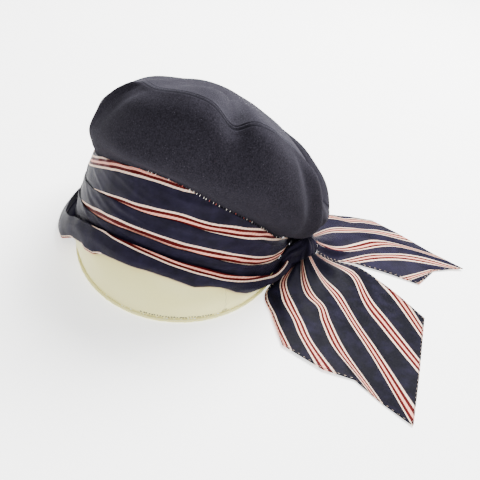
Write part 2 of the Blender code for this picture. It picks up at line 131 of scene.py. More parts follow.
# Where the edges of the stripe groups cross the scarf, as shares of SCARF_HEIGHT; show is the width
# of the lowest group below the loose fold's top edge
STRIPE_COLUMNS = ("turn", "a_low", "b_up", "b_low", "c_up", "c_low", "show")
STRIPE_ROWS = (
    (0, 0.270, 0.262, 0.200, 0.205, 0.150, 0.02),
    (25, 0.300, 0.275, 0.205, 0.200, 0.130, 0.03),
    (60, 0.390, 0.320, 0.240, 0.230, 0.150, 0.05),
    (90, 0.440, 0.340, 0.260, 0.240, 0.160, 0.05),
    (130, 0.480, 0.370, 0.290, 0.260, 0.180, 0.02),
    (165, 0.540, 0.400, 0.320, 0.290, 0.210, -0.01),
    (190, 0.600, 0.460, 0.370, 0.340, 0.260, -0.01),
    (202, 0.685, 0.520, 0.430, 0.395, 0.305, -0.01),
    (214, 0.775, 0.605, 0.520, 0.470, 0.370, -0.01),
    (230, 0.880, 0.695, 0.618, 0.552, 0.437, 0.003),
    (255, 0.950, 0.765, 0.668, 0.592, 0.480, 0.024),
    (270, 0.935, 0.775, 0.683, 0.573, 0.466, 0.034),
    (285, 0.920, 0.727, 0.650, 0.535, 0.443, 0.042),
    (300, 0.900, 0.682, 0.598, 0.475, 0.388, 0.040),
    (315, 0.820, 0.605, 0.530, 0.390, 0.308, 0.024),
    (330, 0.640, 0.490, 0.420, 0.310, 0.250, 0.012),
    (345, 0.460, 0.360, 0.300, 0.250, 0.200, 0.012),
)
STRIPE_PITCH = 0.0225
TOP_STRIPE_PITCH = 0.019
FOLD_STRIPE_PITCH = 0.0125

# Width of a stripe group as a share of the pitch
STRIPE_GROUP = 0.44

# Small kinks of the loose fold's foot (rise in SCARF_HEIGHT) and the stripe that shows under it
FOOT_COLUMNS = ("turn", "rise", "peek")
FOOT_ROWS = (
    (0, 0.000, 0.00), (199, 0.000, 0.00), (203, -0.012, 0.22), (211, -0.010, 0.22), (216, 0.000, 0.00),
    (223, -0.004, 0.00), (227, -0.034, 0.25), (233, -0.036, 0.25), (238, 0.000, 0.00), (272, 0.000, 0.00),
    (280, -0.008, 0.00), (284, -0.016, 0.00), (291, 0.008, 0.00), (296, 0.015, 0.00), (304, -0.004, 0.00),
    (310, 0.004, 0.00), (315, 0.034, 0.00), (322, 0.046, 0.00), (332, 0.036, 0.00), (344, 0.000, 0.00),
    (360, 0.000, 0.00),
)
PEEK_HEIGHT = 0.0025
PEEK_SHARE = 0.02

# Crown sections, as shares of the crown's oval and of CROWN_RISE above the hem
CROWN_RISE = 0.100
CROWN_FULLNESS = (0.003, 0.004)
CROWN_SHIFT = (0.001, 0.001)
CROWN_COLUMNS = ("turn", "low_out", "low_up", "belly_out", "belly_up",
                 "shoulder_out", "shoulder_up", "seam_out", "seam_up")
CROWN_ROWS = (
    (0, 1.22, 0.07, 1.36, 0.16, 1.28, 0.26, 1.17, 0.28),
    (20, 1.22, 0.08, 1.38, 0.16, 1.29, 0.29, 1.18, 0.33),
    (50, 1.15, 0.06, 1.25, 0.17, 1.19, 0.32, 1.07, 0.39),
    (90, 1.06, 0.05, 1.12, 0.18, 1.08, 0.38, 0.98, 0.46),
    (135, 1.00, 0.06, 1.05, 0.22, 1.00, 0.43, 0.88, 0.54),
    (172, 0.92, 0.07, 0.93, 0.25, 0.87, 0.44, 0.71, 0.51),
    (200, 0.88, 0.10, 0.90, 0.26, 0.78, 0.49, 0.58, 0.58),
    (225, 0.88, 0.11, 0.90, 0.28, 0.79, 0.49, 0.61, 0.59),
    (250, 0.94, 0.12, 0.96, 0.28, 0.88, 0.49, 0.73, 0.58),
    (275, 0.98, 0.13, 1.03, 0.31, 0.97, 0.56, 0.83, 0.68),
    (300, 1.02, 0.13, 1.10, 0.33, 1.05, 0.60, 0.94, 0.75),
    (320, 1.09, 0.14, 1.18, 0.36, 1.11, 0.66, 0.98, 0.80),
    (340, 1.14, 0.08, 1.27, 0.30, 1.19, 0.62, 1.05, 0.74),
)
CROWN_STEPS = (0.00, 0.14, 0.32, 0.56, 0.80, 1.00)
CROWN_HEM_TUCK = 0.0090
CROWN_HEM_RISE = 0.0008
CROWN_HEM_OUT = 0.0022
TIP_OFFSET = (0.013, -0.009, 0.014)
TIP_PUFF = 0.007
SIDE_SEAMS = (4.4, 172.0)
PINCH_TURN = 294.0
PINCH_SPREAD = 7.0
PINCH_DEPTH = 0.014
PINCH_WAY = (0.0, 0.35, -0.94)
SEAM_DIP = 0.0011
SEAM_ROLL = 0.0014
SEAM_CORE_DEPTH = 0.0026
SEAM_CORE_RADIUS = 0.0017
SEAM_SHADE = 0.55
SEAM_EDGE_SHARES = (0.0, 0.0006, 0.0013, 0.0022)
WALL_NOISE = 0.00035
WALL_NOISE_SIZE = 0.06
TIP_NOISE = 0.0012
TIP_NOISE_SIZE = 0.05
TOPSTITCH_FROM_SEAM = 0.0032
TOPSTITCH_DIP = 0.00060
TOPSTITCH_WIDTH = 0.0006

# Soft dents and ridges of the crown's walls: place, spreads and height out of the surface
FORM_COLUMNS = ("turn", "level", "turn_spread", "level_spread", "slant", "out")
CROWN_FORMS = (
    (221, 0.84, 2.4, 0.28, 19, 0.0050),
    (213, 0.84, 4.2, 0.28, 19, -0.0066),
    (230, 0.80, 5.0, 0.24, 15, -0.0012),
    (294, 0.78, 9.0, 0.14, 0, -0.0022),
    (276, 0.86, 8.0, 0.14, 0, 0.0014),
    (309, 0.88, 7.0, 0.14, 0, 0.0016),
    (330, 0.80, 3.5, 0.12, 0, -0.0012),
    (334, 0.60, 3.6, 0.30, -4, -0.0026),
    (341, 0.62, 3.0, 0.34, -4, 0.0030),
    (348, 0.56, 3.4, 0.34, -4, -0.0024),
    (240, 0.40, 16.0, 0.20, 0, 0.0012),
    (300, 0.36, 14.0, 0.14, 10, -0.0012),
    (60, 0.50, 9.0, 0.25, 8, -0.0022),
    (40, 0.60, 8.0, 0.25, -6, 0.0016),
    (100, 0.45, 10.0, 0.25, -8, -0.0018),
    (125, 0.65, 8.0, 0.25, 5, 0.0014),
    (150, 0.40, 9.0, 0.22, 0, -0.0014),
)

# Peak
PEAK_SHIFT = 0.0020
PEAK_REACH = (0.0024, 0.0217)
PEAK_TURNS = (202.0, 335.0)
PEAK_BULGE = 0.0040
PEAK_JOIN = (299.5, 304.0)
PEAK_JOIN_MARGIN = 2.0
PEAK_PUCKER = 0.00022
PEAK_SWELL = 0.0005
PEAK_GATHER = 0.00025
JOIN_GROOVE = 0.00045
JOIN_GROOVE_WIDTH = 0.0005
JOIN_SHOULDER = 0.00030
JOIN_SHOULDER_PLACE = 0.0014
JOIN_SHOULDER_WIDTH = 0.0008
JOIN_SHADE = 0.22
UNDER_PEAK = (0.004, 0.0, -0.05)
PEAK_ROOT_RISE = 0.0030
PEAK_ROOT_OUT = 0.0024
PEAK_WALL = 0.0022
WELT_RADIUS = 0.0013

# Stitches: where they run, how many, and their thread's radius
LIP_STITCH_TURNS = (262.0, 297.0)
LIP_STITCHES = 26
LIP_STITCH_ROW = 3
LIP_STITCH_LIFT = 0.00015
LIP_STITCH_RADIUS = 0.00042
HEM_STITCH_TURNS = (244.0, 555.0)
HEM_STITCHES = 170
HEM_STITCH_RADIUS = 0.00026
STITCH_SIDES = 6
# Each hem stitch's three points: turns ahead of its place, height over the hem, depth
HEM_STITCH_POINTS = ((0.0, -0.0004, 0.0026), (0.0, 0.0004, 0.0027), (0.3, 0.0010, 0.0020))

# Knot and tails
KNOT_CENTRE = (0.11012, -0.00863, 0.0155)
KNOT_RADII = (0.0115, 0.0160, 0.0120)
NECK_TURNS = (338.0, 22.0)
NECK_HEIGHT = 0.0140
NECK_DEPTH = 0.0085
NECK_START = (0.0042, 0.0110)
NECK_END = (0.0085, 0.0105)
NECK_END_SHARE = 0.20
NECK_FOLD = 0.10
NECK_FLOOR = 0.0005
KNOT_FOLDS = (0.055, 0.03)
KNOT_SIZE = 0.985
TAIL_LENGTH = 0.200
TAIL_COLUMNS = ("across", "root_turn", "root_climb", "shoulder_x", "shoulder_y",
                "middle_x", "middle_y", "end_x", "end_y")
NEAR_TAIL_ROWS = (
    (0.00, -118, -50, -0.13, -0.255, -0.10, -0.41, -0.05, -0.57),
    (0.19, -105, -30, -0.05, -0.285, 0.01, -0.46, 0.10, -0.66),
    (0.35, -90, -12, 0.03, -0.28, 0.11, -0.485, 0.215, -0.68),
    (0.50, -75, 0, 0.09, -0.255, 0.18, -0.49, 0.30, -0.765),
    (0.66, -58, 5, 0.145, -0.185, 0.255, -0.445, 0.405, -0.85),
    (0.83, -40, 5, 0.20, -0.065, 0.31, -0.275, 0.46, -0.565),
    (1.00, -22, 0, 0.225, 0.035, 0.375, -0.075, 0.515, -0.25),
)
FAR_TAIL_ROWS = (
    (0.00, -14, -5, 0.185, 0.044, 0.35, 0.030, 0.52, -0.015),
    (0.20, 9, 0, 0.215, 0.105, 0.41, 0.13, 0.60, 0.11),
    (0.33, 17, 5, 0.22, 0.125, 0.435, 0.175, 0.675, 0.145),
    (0.44, 25, 5, 0.225, 0.145, 0.45, 0.21, 0.74, 0.165),
    (0.72, 45, 5, 0.195, 0.235, 0.365, 0.30, 0.615, 0.245),
    (0.87, 60, 0, 0.15, 0.325, 0.29, 0.37, 0.465, 0.37),
    (1.00, 78, -10, 0.095, 0.375, 0.19, 0.435, 0.34, 0.455),
)
TAIL_STEPS = (0.00, 0.30, 0.65, 1.00)
TAIL_ROOT_CLEARANCE = 0.0012
TAIL_GROUP_STEPS = (0.0, 0.35, 1.0)
TAIL_GROUP_SHARES = (0.26, 0.34, 0.37)
TAIL_GATHER_REACH = 0.30
TAIL_FALL = 0.30
TAIL_WAVE = 0.0030
NEAR_TAIL_WAVES = 3.0
FAR_TAIL_WAVES = 2.0
TAIL_LIFT = 0.0003
TAIL_PLEAT = 0.0022
TAIL_PLEAT_REACH = 0.55
TAIL_NOISE = 0.0006

# Where the stripe groups of each tail start across it, at shares of its length
NEAR_STRIPE_COLUMNS = ("along", "first", "second", "third", "fourth", "fifth", "sixth")
NEAR_STRIPE_ROWS = (
    (0.00, -0.20, 0.02, 0.30, 0.56, 0.86, 1.20),
    (0.15, -0.12, 0.05, 0.33, 0.60, 0.86, 1.16),
    (0.30, -0.05, 0.14, 0.38, 0.62, 0.84, 1.10),
    (0.36, -0.045, 0.15, 0.415, 0.62, 0.83, 1.07),
    (0.50, -0.04, 0.165, 0.395, 0.625, 0.795, 1.01),
    (0.75, -0.03, 0.150, 0.365, 0.645, 0.80, 0.965),
    (1.00, -0.02, 0.155, 0.430, 0.650, 0.815, 0.925),
)
FAR_STRIPE_COLUMNS = ("along", "first", "second", "third", "fourth", "fifth")
FAR_STRIPE_ROWS = (
    (0.00, -0.75, -0.12, 0.77, 1.03, 1.30),
    (0.20, -0.50, 0.02, 0.68, 0.93, 1.18),
    (0.35, -0.35, 0.15, 0.665, 0.84, 1.06),
    (0.50, -0.20, 0.31, 0.68, 0.818, 0.99),
    (0.78, -0.02, 0.48, 0.665, 0.865, 0.99),
    (1.00, 0.26, 0.44, 0.706, 0.88, 1.00),
)

# Camera, from the ovals of the peak and the band in the photograph
CAMERA_TARGET = (0.056, 0.0, 0.005)
CAMERA_DISTANCE = 0.62
CAMERA_CLIMB = 33.0
CAMERA_ROLL = 10.4
CAMERA_VIEW_WIDTH = 0.417
SENSOR_WIDTH = 36.0

# Floor, surroundings and lights: name, place, size and power
FLOOR_HALF = 12.0
FLOOR_LOOK = {"Base Color": (0.93, 0.93, 0.925, 1.0), "Roughness": 0.8,
              "Emission Color": (1.0, 1.0, 0.99, 1.0), "Emission Strength": 1.5}
SURROUNDINGS = 0.48
LIGHTS = (("window", (0.45, 0.85, 1.40), 1.0, 150.0), ("fill", (0.35, -1.0, 1.4), 1.2, 20.0))
LIGHT_AIM = (0, 0, 0.05)


def column(rows, names, name):
    """One named column of a table as an array."""
    return np.array([row[names.index(name)] for row in rows], float)


def hermite(knots, values, at):
    """Smooth curve through values at knots, with the slope of the line between a knot's neighbours."""
    slopes = np.gradient(values, knots, axis=0)
    index = np.clip(np.searchsorted(knots, at, side="right") - 1, 0, len(knots) - 2)
    width = (knots[index + 1] - knots[index]).reshape((-1,) + (1,) * (values.ndim - 1))
    share = ((at - knots[index]) / (knots[index + 1] - knots[index])).reshape(width.shape)
    start = (2 * share ** 3 - 3 * share ** 2 + 1) * values[index]
    end = (3 * share ** 2 - 2 * share ** 3) * values[index + 1]
    lean_out = (share ** 3 - 2 * share ** 2 + share) * width * slopes[index]
    lean_in = (share ** 3 - share ** 2) * width * slopes[index + 1]
    return start + end + lean_out + lean_in


def round_column(rows, names, name, turns):
    """A table column read at any turn in degrees, closed smoothly round the cap."""
    knots = column(rows, names, "turn")
    values = column(rows, names, name)
    knots = np.concatenate([knots - 360.0, knots, knots + 360.0])
    values = np.tile(values, 3)
    return hermite(knots, values, np.asarray(turns, float) % 360.0)


def scarf_line(name, turns):
    """Height of one of the scarf's lines above the floor: its share of SCARF_HEIGHT, not below 0."""
    return SCARF_HEIGHT * np.maximum(round_column(SCARF_ROWS, SCARF_COLUMNS, name, turns), 0.0)


def hem_line(turns):
    """The scarf's top edge: the hem line, a little lower in front, as the photograph shows it."""
    away = (np.asarray(turns, float) - HEM_DROP_TURN + 180) % 360 - 180
    return scarf_line("hem", turns) - HEM_DROP * np.exp(-(away / HEM_DROP_SPREAD) ** 2)


def stripe_line(name, turns):
    """Height at which a stripe group's edge crosses the scarf."""
    return SCARF_HEIGHT * round_column(STRIPE_ROWS, STRIPE_COLUMNS, name, turns)


def foot_kink(name, turns):
    """The loose fold's foot table read at any turn, in straight lines between its rows."""
    return np.interp(np.asarray(turns, float) % 360.0, column(FOOT_ROWS, FOOT_COLUMNS, "turn"),
                     column(FOOT_ROWS, FOOT_COLUMNS, name))


def oval(turns, centre, halves, height):
    """Points of an oval: from its centre, the half width times the turn's cosine across the cap and
    the half length times its sine along it."""
    angle = np.radians(turns)
    x = centre[0] + halves[0] * np.cos(angle)
    y = centre[1] + halves[1] * np.sin(angle)
    return np.stack([x, y, height + 0 * x], axis=-1)


def band_point(turns, height, depth):
    """Point on the headband's oval, which leans and tapers with the height, depth metres outside
    its outer face."""
    centre = [BAND_CENTRE[way] + BAND_LEAN[way] * height for way in (0, 1)]
    halves = [HEAD_HALVES[way] + HEADBAND_WALL - BAND_TAPER[way] * height + depth for way in (0, 1)]
    return oval(turns, centre, halves, height)


def crown_section(name, turns):
    """One section of the crown: an oval with its size and height scaled turn by turn."""
    out = round_column(CROWN_ROWS, CROWN_COLUMNS, name + "_out", turns)
    rise = CROWN_RISE * round_column(CROWN_ROWS, CROWN_COLUMNS, name + "_up", turns)
    centre = [BAND_CENTRE[way] + CROWN_SHIFT[way] for way in (0, 1)]
    halves = [out * (HEAD_HALVES[way] + HEADBAND_WALL + CROWN_FULLNESS[way]) for way in (0, 1)]
    return oval(turns, centre, halves, scarf_line("hem", turns) + rise)


def steps_apart(grid, axis):
    """Distance from each point of a grid to the one before it along an axis, added up from the first."""
    gaps = np.linalg.norm(np.diff(grid, axis=axis), axis=-1)
    first = np.zeros_like(np.take(gaps, [0], axis=axis))
    return np.cumsum(np.concatenate([first, gaps], axis=axis), axis=axis)


def surface_normals(grid, away_from):
    """Unit normals of a grid, all on the side that mostly faces away from a point."""
    normals = np.cross(np.gradient(grid, axis=1), np.gradient(grid, axis=0))
    normals /= np.maximum(np.linalg.norm(normals, axis=-1, keepdims=True), 1e-12)
    return normals * np.sign(((grid - np.asarray(away_from)) * normals).sum())


def soft_noise(across, along, seed, count=10, low=1.0, high=4.0):
    """Smooth random relief between about -1 and 1: a sum of sines with random directions and phases."""
    draw = np.random.default_rng(seed)
    total = 0.0 * (across + along)
    for _ in range(count):
        turn = draw.uniform(0, math.pi)
        pace = draw.uniform(low, high)
        total += np.sin(2 * math.pi * pace * (across * math.cos(turn) + along * math.sin(turn))
                        + draw.uniform(0, 2 * math.pi))
    return total / math.sqrt(count)


class Mesh:
    """Grids of points gathered into one mesh, with a UV map and named point values."""

    def __init__(self):
        self.points, self.faces, self.uv, self.values, self.count = [], [], [], {}, 0

    def add(self, grid, uv=None, close_rows=False, close_columns=False, turned=False, **values):
        """Join a grid; a uv grid has one more row or column where the grid is closed that way."""
        rows, columns = grid.shape[:2]
        last_row = rows if close_rows else rows - 1
        last_column = columns if close_columns else columns - 1
        row, step = np.meshgrid(np.arange(last_row), np.arange(last_column), indexing="ij")
        corners = [(row, step), (row, step + 1), (row + 1, step + 1), (row + 1, step)]
        if turned:
            corners = corners[::-1]
        faces = np.stack([(r % rows) * columns + c % columns for r, c in corners], axis=-1)
        self.faces.append(faces.reshape(-1, 4) + self.count)
        self.points.append(grid.reshape(-1, 3))
        if uv is None:
            uv = np.zeros((last_row + 1, last_column + 1, 2))
        self.uv.append(np.stack([uv[r, c] for r, c in corners], axis=2).reshape(-1, 2))
        for name, value in values.items():
            filled = self.values.setdefault(name, [])
            filled.append(np.broadcast_to(value, grid.shape[:2]).reshape(-1))
        self.count += rows * columns

    def make(self, name, look, weld=0.0):
        """Turn the gathered grids into an object in the part's frame."""
        mesh = bpy.data.meshes.new(name)
        points = np.concatenate(self.points) + CAP_PLACE
        faces = np.concatenate(self.faces)
        mesh.from_pydata(points.tolist(), [], faces.tolist())
        layer = mesh.uv_layers.new(name="cloth")
        layer.data.foreach_set("uv", np.concatenate(self.uv).astype(np.float32).ravel())
        for value_name, parts in self.values.items():
            attribute = mesh.attributes.new(value_name, "FLOAT", "POINT")
            attribute.data.foreach_set("value", np.concatenate(parts).astype(np.float32))
        work = bmesh.new()
        work.from_mesh(mesh)
        if weld:
            bmesh.ops.remove_doubles(work, verts=work.verts, dist=weld)
            bmesh.ops.dissolve_degenerate(work, edges=work.edges, dist=1e-7)
        for face in work.faces:
            face.smooth = True
        work.to_mesh(mesh)
        work.free()
        mesh.materials.append(look)
        made = bpy.data.objects.new(name, mesh)
        bpy.context.scene.collection.objects.link(made)
        return made


def thicken(piece, wall, even=True):
    """Give a surface a wall on its inner side, closed along its edges."""
    solid = piece.modifiers.new("wall", "SOLIDIFY")
    solid.thickness = wall
    solid.offset = -1.0
    solid.use_even_offset = even
    solid.use_quality_normals = True
    solid.use_rim = True
    return piece


def face_out(piece, away_from):
    """Turn the faces of an open surface so that most point away from a point."""
    mesh = piece.data
    centres = np.zeros(len(mesh.polygons) * 3)
    normals = np.zeros(len(mesh.polygons) * 3)
    mesh.polygons.foreach_get("center", centres)
    mesh.polygons.foreach_get("normal", normals)
    away = centres.reshape(-1, 3) - (np.asarray(away_from) + CAP_PLACE)
    if (away * normals.reshape(-1, 3)).sum() < 0:
        mesh.flip_normals()
    return piece


def outward_faces(piece, open_sides=0):
    """Close the holes of up to open_sides edges, and turn the faces of the closed piece outward."""
    work = bmesh.new()
    work.from_mesh(piece.data)
    if open_sides:
        bmesh.ops.holes_fill(work, edges=work.edges, sides=open_sides)
    bmesh.ops.recalc_face_normals(work, faces=work.faces)
    work.to_mesh(piece.data)
    work.free()
    return piece


def settle(piece, *nodes, slot=None):
    """Let a piece ride on the cap and stand for its solids."""
    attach(piece, "root")
    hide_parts(*nodes)
    return piece


# Materials
class Look:
    """A node material under construction."""

    def __init__(self, name):
        self.material = bpy.data.materials.new(name)
        self.material.use_nodes = True
        self.tree = self.material.node_tree
        self.surface = self.tree.nodes["Principled BSDF"]

    def node(self, kind, inputs=(), **settings):
        """Add a node, set its own settings, and set or link its inputs by name or number."""
        made = self.tree.nodes.new(kind)
        for name, value in settings.items():
            setattr(made, name, value)
        for socket, value in dict(inputs).items():
            self.put(made.inputs[socket], value)
        return made

    def finish(self, inputs):
        """Set or link the surface's own inputs by name, and hand over the material."""
        for name, value in inputs.items():
            self.put(self.surface.inputs[name], value)
        return self.material

    def put(self, socket, value):
        """Set a socket, or link it when the value is another node's output."""
        if isinstance(value, bpy.types.NodeSocket):
            self.tree.links.new(value, socket)
        else:
            socket.default_value = value

    def maths(self, operation, first, second=0.0, third=0.0):
        """One Math node's result."""
        made = self.node("ShaderNodeMath", {0: first, 1: second, 2: third}, operation=operation)
        return made.outputs[0]

    def mix(self, share, first, second, blend="MIX"):
        """Two colours mixed by a share."""
        made = self.node("ShaderNodeMix", data_type="RGBA", blend_type=blend)
        for name, value in (("Factor", share), ("A", first), ("B", second)):
            self.put(made.inputs[name], value)
        return made.outputs["Result"]

    def ramp(self, value, stops, interpolation="LINEAR"):
        """A colour ramp with (place, colour) stops."""
        made = self.node("ShaderNodeValToRGB", {"Fac": value})
        made.color_ramp.interpolation = interpolation
        while len(made.color_ramp.elements) > 1:
            made.color_ramp.elements.remove(made.color_ramp.elements[-1])
        for index, (place, colour) in enumerate(stops):
            stop = made.color_ramp.elements[0] if index == 0 else made.color_ramp.elements.new(place)
            stop.position = place
            stop.color = colour
        return made.outputs["Color"]

    def noise(self, where, scale, detail=2.0, roughness=0.5):
        """Smooth noise between 0 and 1."""
        made = self.node("ShaderNodeTexNoise", {"Vector": where, "Scale": scale, "Detail": detail,
                                                "Roughness": roughness})
        return made.outputs["Fac"]

    def attribute(self, name):
        """A named point value of the mesh."""
        return self.node("ShaderNodeAttribute", attribute_name=name).outputs["Fac"]

    def place(self):
        """Object coordinates."""
        return self.node("ShaderNodeTexCoord").outputs["Object"]

    def cloth(self):
        """The piece's own UV map, split into the way along the cloth and the way across it."""
        uv = self.node("ShaderNodeUVMap", uv_map="cloth")
        split = self.node("ShaderNodeSeparateXYZ", {0: uv.outputs["UV"]})
        return split.outputs[0], split.outputs[1]

    def bump(self, height, distance, strength=1.0, under=None):
        """A bump normal from a height, over another one if given."""
        made = self.node("ShaderNodeBump", {"Height": height, "Distance": distance,
                                            "Strength": strength})
        if under is not None:
            self.put(made.inputs["Normal"], under)
        return made.outputs["Normal"]


def grey(value):
    """A grey as a colour."""
    return (value, value, value, 1.0)


# Colours
WOOL_DARK = (0.0046, 0.0040, 0.0058, 1.0)
WOOL_LIGHT = (0.024, 0.022, 0.030, 1.0)
WOOL_FIBRE = (0.075, 0.070, 0.088, 1.0)
WOOL_SEAM = (0.004, 0.004, 0.006, 1.0)
WOOL_SHEEN = (0.72, 0.70, 0.85, 1.0)
SILK_NAVY = (0.0060, 0.0050, 0.0105, 1.0)
SILK_NAVY_WORN = (0.0165, 0.0140, 0.0330, 1.0)
# Darker navy of painted shade: in creases, in the tails' gathers and over the whole near tail; also the
# tails' dark hem line.
SILK_DEEP = (0.0030, 0.0028, 0.0060, 1.0)
SILK_SHEEN = (0.60, 0.55, 0.95, 1.0)
STRIPE_CREAM = (0.88, 0.70, 0.56, 1.0)
STRIPE_RED = (0.062, 0.0020, 0.0024, 1.0)
STRIPE_PINK = (0.86, 0.41, 0.32, 1.0)
STRIPE_TWILL = (0.80, 0.50, 0.42, 1.0)
SATIN_IVORY = (0.97, 0.92, 0.41, 1.0)
SATIN_SHADE = (0.95, 0.88, 0.33, 1.0)
SATIN_THREAD = (0.66, 0.63, 0.46, 1.0)
SATIN_HOLE = (0.10, 0.08, 0.05, 1.0)
THREAD_TONES = ((0.0, (0.85, 0.80, 0.72, 1.0)), (0.45, (0.40, 0.07, 0.05, 1.0)),
                (0.62, (0.03, 0.03, 0.04, 1.0)))

# Noises: repeats in a metre, layers, roughness
WOOL_NAP = (950.0, 3.0, 0.7)
WOOL_CLOUD = (60.0, 3.0, 0.55)
WOOL_FIBRES = (1500.0, 2.0, 0.6)
WOOL_RELIEF = (320.0, 3.0, 0.6)
SILK_CLOUD = (90.0, 4.0, 0.6)
SILK_RELIEF = (130.0, 3.0, 0.55)
SATIN_CLOUD = (35.0, 3.0, 0.5)
SATIN_RELIEF = (80.0, 3.0, 0.5)
SATIN_THREADS = (3000.0, 300.0, 300.0)

# One stripe group from its upper edge: where each band ends, as a share of the pitch, and its colour
STRIPE_BANDS = ((0.064, STRIPE_CREAM), (0.174, STRIPE_RED), (0.262, STRIPE_PINK), (0.370, STRIPE_RED),
                (STRIPE_GROUP, STRIPE_CREAM))
STRIPE_EDGE = 0.006
TWILL_STEP = 0.0032
RIB_ALONG = 0.0009
RIB_ACROSS = 0.0007

# Rolled hem of the tails, as shares of HEM_REACH from the edge, and its tacks
HEM_REACH = 0.0100
HEM_ROLL = ((0.0, 0.0), (0.11, 0.0), (0.13, 0.85), (0.19, 0.85), (0.22, 0.0))
HEM_TACK = 0.0046
HEM_TACK_SHARE = 0.34
HEM_TACK_PLACE = 0.125
HEM_TACK_WIDTH = 0.018


def wool_look(name, sheen):
    """Felted navy wool: dense short nap, paler fibres, darker in its seams."""
    look = Look(name)
    where = look.place()
    nap = look.noise(where, *WOOL_NAP)
    tone = look.maths("MULTIPLY_ADD", nap, 2.0, -0.72)
    tone = look.maths("MULTIPLY_ADD", look.noise(where, *WOOL_CLOUD), 0.25, tone)
    colour = look.mix(tone, WOOL_DARK, WOOL_LIGHT)
    fibres = look.maths("GREATER_THAN", look.noise(where, *WOOL_FIBRES), 0.70)
    colour = look.mix(look.maths("MULTIPLY", fibres, 0.75), colour, WOOL_FIBRE)
    colour = look.mix(look.maths("MULTIPLY", look.attribute("seam"), 0.85), colour, WOOL_SEAM)
    under = look.bump(look.noise(where, *WOOL_RELIEF), 0.0004, 0.35)
    return look.finish({"Base Color": colour, "Roughness": 0.95, "Specular IOR Level": 0.02,
                        "Sheen Weight": sheen, "Sheen Roughness": 0.5, "Sheen Tint": WOOL_SHEEN,
                        "Normal": look.bump(nap, 0.0004, 0.8, under)})


def silk_look(name, wear_and_shade, gloss, navy=SILK_NAVY):
    """Striped silk twill: groups of cream, red and pink bands with fine diagonal lines on navy."""
    look = Look(name)
    along, across = look.cloth()
    phase = look.maths("FRACT", across)
    bands = STRIPE_BANDS + ((1.0, navy),)
    stops = [(0.0, STRIPE_CREAM)]
    for (end, colour), (_, following) in zip(bands, bands[1:]):
        stops += [(end - STRIPE_EDGE, colour), (end + STRIPE_EDGE, following)]
    stops += [(1.0 - STRIPE_EDGE, navy), (1.0, STRIPE_CREAM)]
    colour = look.ramp(phase, stops)
    pale = look.maths("LESS_THAN", phase, STRIPE_GROUP)
    twill = look.maths("MULTIPLY_ADD", across, STRIPE_PITCH / TWILL_STEP,
                       look.maths("DIVIDE", along, TWILL_STEP))
    twill = look.maths("SINE", look.maths("MULTIPLY", twill, 2 * math.pi))
    shade = look.maths("MULTIPLY", pale, look.maths("MULTIPLY_ADD", twill, 0.34, 0.30))
    colour = look.mix(shade, colour, STRIPE_TWILL, "MULTIPLY")
    rib = look.maths("SINE", look.maths("MULTIPLY_ADD", across, 2 * math.pi * STRIPE_PITCH / RIB_ACROSS,
                                        look.maths("MULTIPLY", along, 2 * math.pi / RIB_ALONG)))
    where = look.place()
    cloud = look.noise(where, *SILK_CLOUD)
    # Paler navy patches: random wear, held back on the near tail as painted shade.
    wear_and_shade_patches = look.maths("MULTIPLY_ADD", cloud, 1.6, -0.8 + wear_and_shade)
    wear_and_shade_patches = look.maths("MULTIPLY", look.maths("SUBTRACT", 1.0, pale), wear_and_shade_patches)
    colour = look.mix(look.node("ShaderNodeClamp", {0: wear_and_shade_patches}).outputs[0], colour, SILK_NAVY_WORN)
    # Painted shade: darker navy in creases, fold valleys, the turned-under layer and the tails' gathers
    # near the knot.
    colour = look.mix(look.maths("MULTIPLY", look.attribute("crease"), 0.75), colour, SILK_DEEP)
    rim = look.attribute("rim")
    roll = look.ramp(rim, [(place, grey(share)) for place, share in HEM_ROLL])
    colour = look.mix(roll, colour, SILK_DEEP)
    tack = look.maths("FRACT", look.maths("DIVIDE", look.attribute("run"), HEM_TACK))
    tack = look.maths("LESS_THAN", tack, HEM_TACK_SHARE)
    tack = look.maths("MULTIPLY", tack, look.maths("COMPARE", rim, HEM_TACK_PLACE, HEM_TACK_WIDTH))
    colour = look.mix(look.maths("MULTIPLY", tack, 0.55), colour, STRIPE_CREAM)
    under = look.bump(look.noise(where, *SILK_RELIEF), 0.0009, 0.35)
    fine = look.maths("MULTIPLY_ADD", twill, look.maths("MULTIPLY", pale, 0.5), rib)
    return look.finish({"Base Color": colour, "Roughness": look.maths("MULTIPLY_ADD", cloud, 0.20, 0.36),
                        "Specular IOR Level": gloss, "Sheen Weight": 0.005, "Sheen Roughness": 0.4,
                        "Sheen Tint": SILK_SHEEN, "Normal": look.bump(fine, 0.00006, 0.7, under)})


def satin_look():
    """Ivory satin: smooth, soft gloss, faint threads, a little yellowed and creased."""
    look = Look("ivory_satin")
    where = look.place()
    cloud = look.noise(where, *SATIN_CLOUD)
    colour = look.mix(cloud, SATIN_IVORY, SATIN_SHADE)
    stretched = look.node("ShaderNodeMapping", {"Vector": where, "Scale": SATIN_THREADS}).outputs[0]
    threads = look.noise(stretched, 1.0, 2.0, 0.6)
    colour = look.mix(look.maths("MULTIPLY", threads, 0.18), colour, SATIN_THREAD)
    colour = look.mix(look.attribute("hole"), colour, SATIN_HOLE)
    under = look.bump(look.noise(where, *SATIN_RELIEF), 0.0010, 0.35)
    return look.finish({"Base Color": colour, "Roughness": look.maths("MULTIPLY_ADD", cloud, 0.18, 0.28),
                        "Specular IOR Level": 0.5, "Sheen Weight": 0.15,
                        "Normal": look.bump(threads, 0.00008, 0.5, under)})


def thread_look():
    """Sewing thread: pale, red and dark in turn, from the piece's own tone values."""
    look = Look("hem_thread")
    return look.finish({"Base Color": look.ramp(look.attribute("tone"), THREAD_TONES, "CONSTANT"),
                        "Roughness": 0.6})


wool = wool_look("navy_wool_nap", 0.035)
tip_wool = wool_look("navy_wool_nap_tip", 0.11)
silk = silk_look("striped_silk", wear_and_shade=0.32, gloss=0.045)
